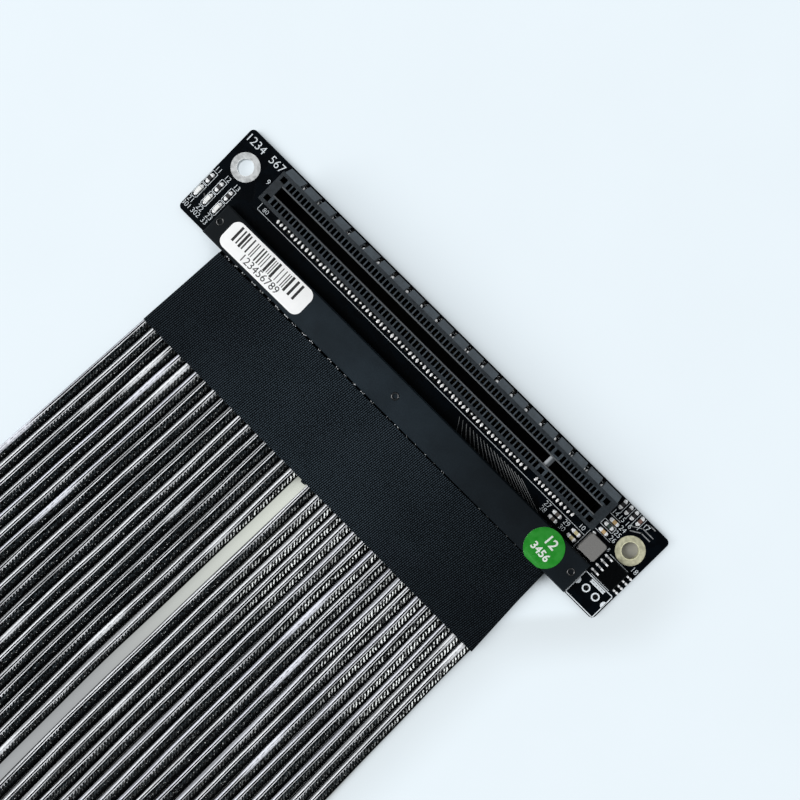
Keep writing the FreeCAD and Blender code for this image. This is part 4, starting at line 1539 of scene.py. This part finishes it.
class CABLE_OT_papers(bpy.types.Operator):
    """Print the label and lay the round sticker with its numbers over the strip's edge"""

    bl_idname = "extension.papers"
    bl_label = "Label and sticker"

    def execute(self, context):
        looks = context.scene.extension_slot
        paper = grained("label_paper", shade(looks.paper, 0.97), looks.paper, 1.5, 0.55, 0.004)
        dress("barcode_label", paper)
        self.label_print(looks)
        self.sticker(looks)
        return {"FINISHED"}

    def label_print(self, looks):
        """Plain bars of four widths and a plain number."""
        ink = print_finish("label_ink", looks.ink)
        thick = INK_THICK * MM
        angle = math.radians(LABEL_TURN)
        turn = Matrix.Rotation(angle, 3, "Z")
        middle = on_board(*LABEL)
        shape = Shape()

        def on_label(x, inset):
            """A point on the label, turned with it."""
            point = middle + turn @ (on_board(x, inset) - middle)
            point.z = STRIP_HIGH.z + PAPER_THICK * MM
            return point

        draws = random.Random(LABEL_SEED)
        x = LABEL_BARS[0]
        while x < LABEL_BARS[1]:
            width = draws.choice(LABEL_BAR_WIDTHS)
            start, end = (on_label(x + width / 2, inset) for inset in LABEL_BAR_INSETS)
            shape.bar(start, end, width * MM, thick)
            x += width + draws.choice(LABEL_BAR_SPACES)
        text, x, inset, height = LABEL_NUMBER
        shape.number(text, on_label(x, inset), height * MM, thick, angle)
        make_piece("label_print", shape, [ink])

    def sticker(self, looks):
        """A green disc whose edge bends down over the strip, with plain white numbers."""
        dark, light = shade(looks.sticker, 0.92), shade(looks.sticker, 1.05)
        green = grained("sticker_paper", dark, light, 1.2, 0.42, 0.004)
        rim = grained("sticker_rim", *STICKER_RIM, 0.5, 0.6)
        white = print_finish("sticker_ink", STICKER_INK)
        centre = on_board(*STICKER)
        top = STRIP_HIGH.z + PAPER_THICK * MM
        radius = STICKER_DIAMETER / 2 * MM
        rings = STICKER_RINGS
        segments = STICKER_SEGMENTS
        faces = metres(*STICKER_FACES)

        def drape(x, y, lift):
            """A point on the sticker, bent down past the strip's edge."""
            past = max(0.0, STRIP_LOW.y + STICKER_BEND * MM - y)
            return (x, y, top + lift - STICKER_SLOPE * past)

        shape = Shape()
        points = []
        for lift in faces:
            points.append(drape(centre.x, centre.y, lift))
            for ring in range(1, rings + 1):
                reach = radius * ring / rings
                for angle in np.linspace(0, FULL_TURN, segments, endpoint=False):
                    x = centre.x + reach * math.cos(angle)
                    y = centre.y + reach * math.sin(angle)
                    points.append(drape(x, y, lift))
        layer = 1 + rings * segments
        upper = []
        for step in range(segments):
            after = (step + 1) % segments
            upper.append((0, 1 + step, 1 + after))
            for ring in range(rings - 1):
                low = 1 + ring * segments
                high = low + segments
                upper.append((low + step, high + step, high + after, low + after))
        top_faces = [tuple(layer + index for index in face) for face in upper]
        bottom_faces = [tuple(reversed(face)) for face in upper]
        edge = layer - segments
        wall = []
        for step in range(segments):
            after = (step + 1) % segments
            wall.append((edge + step, edge + after, layer + edge + after, layer + edge + step))
        shape.add(points, top_faces + bottom_faces + wall)
        shape.finishes = [0] * (len(top_faces) + len(bottom_faces)) + [1] * len(wall)
        piece = make_piece("round_sticker_dressed", shape, [green, rim], smooth=40)
        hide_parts("round_sticker")

        figures = Shape()
        angle = math.radians(STICKER_TURN)
        spin = Matrix.Rotation(angle, 3, "Z")
        middle = Vector((centre.x, centre.y, top + faces[1]))
        thick, weight = metres(STICKER_INK_THICK, STICKER_INK_WEIGHT)
        for text, across, up, height in STICKER_NUMBERS:
            place = middle + spin @ Vector((across, up, 0)) * MM
            figures.number(text, place, height * MM, thick, angle, weight=weight)
        make_piece("sticker_figures", figures, [white])


def route_line(points):
    """Points read from the smooth line that a route's control points give."""
    curve = bpy.data.curves.new("route", "CURVE")
    curve.dimensions = "3D"
    spline = curve.splines.new("NURBS")
    spline.points.add(len(points) - 1)
    for knot, point in zip(spline.points, points):
        knot.co = (*point, 1.0)
    spline.order_u = 3
    spline.use_endpoint_u = True
    spline.resolution_u = 40
    holder = bpy.data.objects.new("route", curve)
    mesh = bpy.data.meshes.new_from_object(holder)
    line = np.array([vertex.co for vertex in mesh.vertices], float)
    bpy.data.meshes.remove(mesh)
    bpy.data.curves.remove(curve)
    return line


def edge_at(group, edge, y):
    """X of a group's left or right cable at a place along the cables."""
    end, middle = CABLE_STATIONS[0][0], CABLE_STATIONS[len(CABLE_STATIONS) // 2][0]
    share = 1 - abs(y - middle) / abs(end - middle)
    first = END_EDGES[group][edge]
    return first + share * (MIDDLE_EDGES[group][edge] - first)


def cable_pitch(group, y):
    """Distance from one cable to the next in a group at a place along the cables."""
    return (edge_at(group, 1, y) - edge_at(group, 0, y)) / (CABLES_PER_GROUP - 1)


def cable_routes():
    """Control points of every cable, shared out evenly between the two edges of its group."""
    routes = []
    for group in (0, 1):
        for step in range(CABLES_PER_GROUP):
            share = step / (CABLES_PER_GROUP - 1)
            points = []
            for y, z in CABLE_STATIONS:
                left, right = (edge_at(group, edge, y) for edge in (0, 1))
                points.append(((left + share * (right - left)) * MM, y * MM, z * MM))
            routes.append(points)
    return routes


def cable_section():
    """Outline of a cable: two lobes joined by a web, as pairs across and up in millimetres."""
    across = -CABLE_WIDTH / 2 * np.cos(np.linspace(0, math.pi, SECTION_STEPS))
    heights = []
    for x in across:
        lobes = [1 - ((x - centre) / reach) ** 2 for centre, reach in LOBES]
        height = math.sqrt(max(0.0, *lobes))
        if LOBES[0][0] < x < LOBES[1][0]:
            height = max(height, LOBE_WEB)
        heights.append(height * CABLE_HEIGHT / 2)
    upper = list(zip(across, heights))
    lower = [(x, -height) for x, height in reversed(upper[1:-1])]
    return upper + lower


class CABLE_OT_cables(bpy.types.Operator):
    """Lay the flat cables along their routes"""

    bl_idname = "extension.cables"
    bl_label = "Flat cables"

    def execute(self, context):
        looks = context.scene.extension_cable
        finish = cable_finish(looks.jacket, looks.film, looks.braid)
        section = cable_section()
        draws = random.Random(CABLE_SEED)
        self.seam_ends(cable_routes(), looks.film)
        for number, points in enumerate(cable_routes(), start=1):
            line = route_line(points)
            group = (number - 1) // CABLES_PER_GROUP
            shine = GAP_SHINE.get(number, draws.uniform(*BRAID_SHINE[group]))
            film_tone = draws.choice(FILM_TONES) * draws.uniform(*FILM_STRAY)
            tone = (film_tone, shine, draws.random())
            pitches = np.array([cable_pitch(group, y / MM) for y in line[:, 1]])
            widths = (pitches - CABLE_GAP) / CABLE_WIDTH
            piece = self.tube(number, line, section, widths, looks.wobble, tone, finish, draws)
            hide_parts(f"cable_{number:02d}")
        return {"FINISHED"}

    def seam_ends(self, routes, film):
        """Small bright ends of film and braid in the seam between the strip and the tape."""
        draws = random.Random(SEAM_SEED)
        shape = Shape()
        for number, points in enumerate(routes):
            group = number // CABLES_PER_GROUP
            count = draws.choice((0, 0, 1)) if group else draws.randint(2, 4)
            place = points[0][0] + draws.uniform(*SEAM_STARTS) * MM
            for _ in range(count):
                reach = draws.uniform(*SEAM_REACHES[group])
                back = draws.uniform(*SEAM_BACKS[group])
                centre = (place, STRIP_LOW.y - back * MM, SEAM_HEIGHT * MM)
                radii = metres(reach, draws.uniform(*SEAM_WIDTHS), draws.uniform(*SEAM_RISES))
                shape.dome(centre, radii, draws.uniform(-SEAM_TURN, SEAM_TURN))
                place += draws.uniform(*SEAM_STEPS) * MM
        make_piece("seam_ends", shape, [solder_finish("seam_film", film, 0.0)], smooth=60)

    def tube(self, number, line, section, widths, wobble, tone, finish, draws):
        """A closed tube of the cable's section, wandering a little from its line."""
        count = len(line)
        runs = np.gradient(line, axis=0)
        runs /= np.linalg.norm(runs, axis=1)[:, None]
        side = np.cross(runs, (0, 0, 1))
        side /= -np.linalg.norm(side, axis=1)[:, None]
        up = np.cross(side, -runs)
        up *= np.sign(up[:, 2:3])
        steps = np.linalg.norm(np.diff(line, axis=0), axis=1)
        along = np.concatenate([[0], np.cumsum(steps)])
        ends = np.minimum(1, np.minimum(along, along[-1] - along) / (WANDER_EASE * MM))
        waves = [(draws.uniform(*WAVE_LENGTHS) * MM, draws.uniform(*WAVE_PHASES)) for _ in range(WAVES)]
        wander = sum(np.sin(FULL_TURN * along / length + phase) for length, phase in waves) / WAVES
        roll = math.radians(draws.uniform(-ROLL, ROLL)) + math.radians(WAVE_ROLL) * wander * ends
        centres = line + side * (wander * wobble * ends)[:, None]
        size = len(section)
        flat = np.array(section) * MM
        reach = widths[:, None] * flat[:, 0]
        across = np.cos(roll)[:, None] * reach - np.sin(roll)[:, None] * flat[:, 1]
        rise = np.sin(roll)[:, None] * reach + np.cos(roll)[:, None] * flat[:, 1]
        points = (
            centres[:, None, :] + across[:, :, None] * side[:, None, :] + rise[:, :, None] * up[:, None, :]
        ).reshape(-1, 3)
        faces = []
        for ring in range(count - 1):
            for step in range(size):
                after = (step + 1) % size
                low = ring * size
                faces.append((low + step, low + after, low + size + after, low + size + step))
        faces.append(tuple(reversed(range(size))))
        faces.append(tuple(range((count - 1) * size, count * size)))
        shape = Shape()
        shape.add(points, faces)
        piece = make_piece(f"flat_cable_{number:02d}", shape, [finish], smooth=50)
        mesh = piece.data
        layer = mesh.uv_layers.new(name="cable_map")
        index = np.zeros(len(mesh.loops), np.int32)
        mesh.loops.foreach_get("vertex_index", index)
        map_points = np.stack([reach.ravel() / MM, np.repeat(along / MM, size)], axis=1)
        layer.data.foreach_set("uv", map_points[index].astype(np.float32).ravel())
        attribute = mesh.attributes.new("cable_tone", "FLOAT_VECTOR", "POINT")
        attribute.data.foreach_set("vector", np.tile(np.array(tone, np.float32), len(points)))
        return piece


class CABLE_OT_tapes(bpy.types.Operator):
    """Wrap the woven tape round the cables at both ends"""

    bl_idname = "extension.tapes"
    bl_label = "Woven tape"

    def execute(self, context):
        looks = context.scene.extension_cable
        finish = tape_finish(looks.groove, looks.rib)
        for name, node, from_plug in (
            ("socket_tape_woven", "socket_tape", False),
            ("plug_tape_woven", "plug_tape", True),
        ):
            piece = self.sleeve(name, finish, from_plug)
            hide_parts(node)
        self.tab(finish)
        return {"FINISHED"}

    def sleeve(self, name, finish, from_plug):
        """A thin sleeve that follows the cables under it, open at both ends."""
        rows = TAPE_ROWS
        ripples = random.Random(PLUG_TAPE_SEED if from_plug else SOCKET_TAPE_SEED)
        phases = [ripples.uniform(*WAVE_PHASES) for _ in PUCKERS]
        strip_edge = STRIP_LOW.y / MM
        mirror = (STRIP_LOW.y + PLUG_STRIP_HIGH.y) / MM
        loops = []
        for row in range(rows):
            share = row / (rows - 1)
            upper = []
            for column in range(TAPE_COLUMNS):
                part = column / (TAPE_COLUMNS - 1)
                start = TAPE_STARTS[0] + part * (TAPE_STARTS[1] - TAPE_STARTS[0])
                far = TAPE_ENDS[0] + part * (TAPE_ENDS[1] - TAPE_ENDS[0])
                y = strip_edge - start - share * (far - start)
                upper.append(self.tape_point(part, y, share, phases))
            loops.append(self.closed_loop(upper))
        outer = np.array(loops)
        centre = outer.mean(axis=1, keepdims=True)
        inner = outer.copy()
        for axis, half in ((0, TAPE_HALF_WIDTH), (2, TAPE_HALF_HEIGHT)):
            reach = outer[:, :, axis] - centre[:, :, axis]
            inner[:, :, axis] = centre[:, :, axis] + reach * (1 - TAPE_WALL / half)
        if from_plug:
            outer[:, :, 1] = mirror - outer[:, :, 1]
            inner[:, :, 1] = mirror - inner[:, :, 1]
        size = outer.shape[1]
        points = np.concatenate([outer.reshape(-1, 3), inner.reshape(-1, 3)]) * MM
        shift = rows * size
        faces = []
        for row in range(rows - 1):
            for step in range(size):
                after = (step + 1) % size
                low = row * size
                quad = (low + step, low + after, low + size + after, low + size + step)
                faces.append(quad)
                faces.append(tuple(shift + index for index in reversed(quad)))
        for low in (0, (rows - 1) * size):
            for step in range(size):
                after = (step + 1) % size
                quad = (low + step, shift + low + step, shift + low + after, low + after)
                faces.append(quad if low == 0 else tuple(reversed(quad)))
        if from_plug:
            faces = [tuple(reversed(face)) for face in faces]
        shape = Shape()
        shape.add(points, faces)
        return make_piece(name, shape, [finish], smooth=50)

    def tape_point(self, part, y, share, phases):
        """A point of the tape's upper face: it rides on the cables and puckers a little."""
        first, second = CABLE_STATIONS[:2]
        drop = ((y - first[0]) / (second[0] - first[0])) ** 2
        z = first[1] + drop * TAPE_SINK * (second[1] - first[1])
        left = edge_at(0, 0, y) - TAPE_MARGIN + TAPE_LEFT_TUCK
        right = edge_at(1, 1, y) + TAPE_MARGIN - TAPE_RIGHT_TUCK * (1 - share)
        x = left + part * (right - left)
        cables = 2 * CABLES_PER_GROUP + 1
        ridge = RIDGE_HEIGHT * math.cos(FULL_TURN * part * cables) * share
        pucker = sum(
            math.sin(FULL_TURN * (part * turns + share * slope) + phase)
            for (turns, slope), phase in zip(PUCKERS, phases)
        )
        return (x, y, z + TAPE_HALF_HEIGHT + ridge + PUCKER_HEIGHT * pucker)

    def closed_loop(self, upper):
        """The upper face's row of points, carried round both sides and back underneath."""
        left, right = upper[0], upper[-1]

        def rounding(x):
            """How far the rounded sides take the tape from its full height."""
            inside = max(0.0, TAPE_CORNER - min(x - left[0], right[0] - x))
            return TAPE_CORNER - math.sqrt(max(0.0, TAPE_CORNER ** 2 - inside ** 2))

        loop = [(x, y, z - rounding(x)) for x, y, z in upper]
        for part in np.linspace(0, 1, TAPE_UNDER_STEPS):
            x, y, z = (first + part * (last - first) for first, last in zip(right, left))
            loop.append((x, y, max(TAPE_LOWEST, z - 2 * TAPE_HALF_HEIGHT) + rounding(x)))
        return loop

    def tab(self, finish):
        """A folded end of the tape that shows between the two groups of cables."""
        y = STRIP_LOW.y - (sum(TAPE_ENDS) / 2 - TAB_TUCK) * MM
        across, back, height = metres(*TAB_PLACE)
        shape = Shape()
        shape.box((across, y + back, height), metres(*TAB_SIZE), TAB_TURN)
        piece = make_piece("tape_tab", shape, [finish])
        soften(piece, TAB_ROUNDING * MM, 3)


class CABLE_OT_stage(bpy.types.Operator):
    """Set the table, the light and the camera"""

    bl_idname = "extension.stage"
    bl_label = "Stage"

    def execute(self, context):
        looks = context.scene.extension_stage
        scene = context.scene
        scene.view_settings.view_transform = "Standard"
        self.table(looks)
        self.windows(looks)
        self.room(looks)
        scene.camera = self.camera(looks)
        return {"FINISHED"}

    def table(self, looks):
        """A wide pale table top under the cable."""
        reach = TABLE_REACH * MM
        mesh = bpy.data.meshes.new("table")
        corners = [(-reach, -reach, 0), (reach, -reach, 0), (reach, reach, 0), (-reach, reach, 0)]
        mesh.from_pydata(corners, [], [(0, 1, 2, 3)])
        gap = (looks.gap_shade_far, looks.gap_shade_near)
        mesh.materials.append(floor_finish(looks.table, looks.table_shade, gap, looks.evenness))
        table = bpy.data.objects.new("table", mesh)
        bpy.context.scene.collection.objects.link(table)

    def windows(self, looks):
        """Two large soft lights, aimed at the cable."""
        for name, place, power in (
            ("window", looks.window_place, looks.window_power),
            ("second_window", looks.second_place, looks.second_power),
        ):
            light = bpy.data.lights.new(name, "AREA")
            light.shape = "SQUARE"
            light.size = looks.window_size
            light.energy = power
            lamp = bpy.data.objects.new(name, light)
            lamp.location = place
            lamp.rotation_euler = (-Vector(place)).to_track_quat("-Z", "Y").to_euler()
            bpy.context.scene.collection.objects.link(lamp)

    def room(self, looks):
        """A room that is pale along its foot and dark overhead."""
        world = bpy.data.worlds.new("room")
        bpy.context.scene.world = world
        world.use_nodes = True
        nodes = world.node_tree.nodes
        links = world.node_tree.links
        background = nodes["Background"]
        background.inputs["Color"].default_value = ROOM_TINT
        coordinates = nodes.new("ShaderNodeTexCoord")
        split = nodes.new("ShaderNodeSeparateXYZ")
        links.new(coordinates.outputs["Generated"], split.inputs[0])
        brighter = nodes.new("ShaderNodeMath")
        brighter.operation = "MAXIMUM"
        fades = ((*ROOM_FADE, looks.room, ROOM_OVERHEAD), (*ROOM_FOOT_FADE, ROOM_FOOT, 0.0))
        for side, levels in enumerate(fades):
            falling = nodes.new("ShaderNodeMapRange")
            falling.interpolation_type = "SMOOTHSTEP"
            for socket, value in zip(list(falling.inputs)[1:5], levels):
                socket.default_value = value
            links.new(split.outputs[2], falling.inputs[0])
            links.new(falling.outputs[0], brighter.inputs[side])
        links.new(brighter.outputs[0], background.inputs["Strength"])

    def camera(self, looks):
        """The camera at the picture's place, looking down at the socket end."""
        right = Vector(looks.camera_right).normalized()
        down = Vector(looks.camera_down).normalized()
        back = down.cross(right)
        data = bpy.data.cameras.new("picture")
        data.lens = looks.lens
        data.sensor_width = SENSOR_WIDTH
        data.clip_start = NEAREST_SEEN * MM
        camera = bpy.data.objects.new("picture", data)
        axes = Matrix((right, -down, back)).transposed()
        camera.matrix_world = Matrix.Translation(looks.camera_place) @ axes.to_4x4()
        bpy.context.scene.collection.objects.link(camera)
        return camera


OPERATORS = (
    CABLE_OT_boards,
    CABLE_OT_slot,
    CABLE_OT_chips,
    CABLE_OT_power,
    CABLE_OT_print,
    CABLE_OT_strips,
    CABLE_OT_papers,
    CABLE_OT_tapes,
    CABLE_OT_cables,
    CABLE_OT_stage,
)
LOOKS = {
    "extension_board": BoardLooks,
    "extension_slot": SlotLooks,
    "extension_cable": CableLooks,
    "extension_stage": StageLooks,
}


class CABLE_PT_panel(bpy.types.Panel):
    """Sidebar panel with the sizes, the colours and one button for each group of pieces"""

    bl_idname = "CABLE_PT_panel"
    bl_label = "Slot extension cable"
    bl_space_type = "VIEW_3D"
    bl_region_type = "UI"
    bl_category = "Cable"

    def draw(self, context):
        for name, group in LOOKS.items():
            box = self.layout.box()
            for key in group.__annotations__:
                box.prop(getattr(context.scene, name), key)
        for operator in OPERATORS:
            self.layout.operator(operator.bl_idname)


def register():
    """Make the groups of values, the operators and the panel known."""
    for name, group in LOOKS.items():
        bpy.utils.register_class(group)
        setattr(bpy.types.Scene, name, PointerProperty(type=group))
    for entry in (*OPERATORS, CABLE_PT_panel):
        bpy.utils.register_class(entry)


def unregister():
    """Take them away again."""
    for entry in (CABLE_PT_panel, *reversed(OPERATORS)):
        bpy.utils.unregister_class(entry)
    for name, group in reversed(LOOKS.items()):
        delattr(bpy.types.Scene, name)
        bpy.utils.unregister_class(group)


def main():
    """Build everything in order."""
    register()
    for operator in OPERATORS:
        group, name = operator.bl_idname.split(".")
        getattr(getattr(bpy.ops, group), name)()


if __name__ == "__main__":
    main()
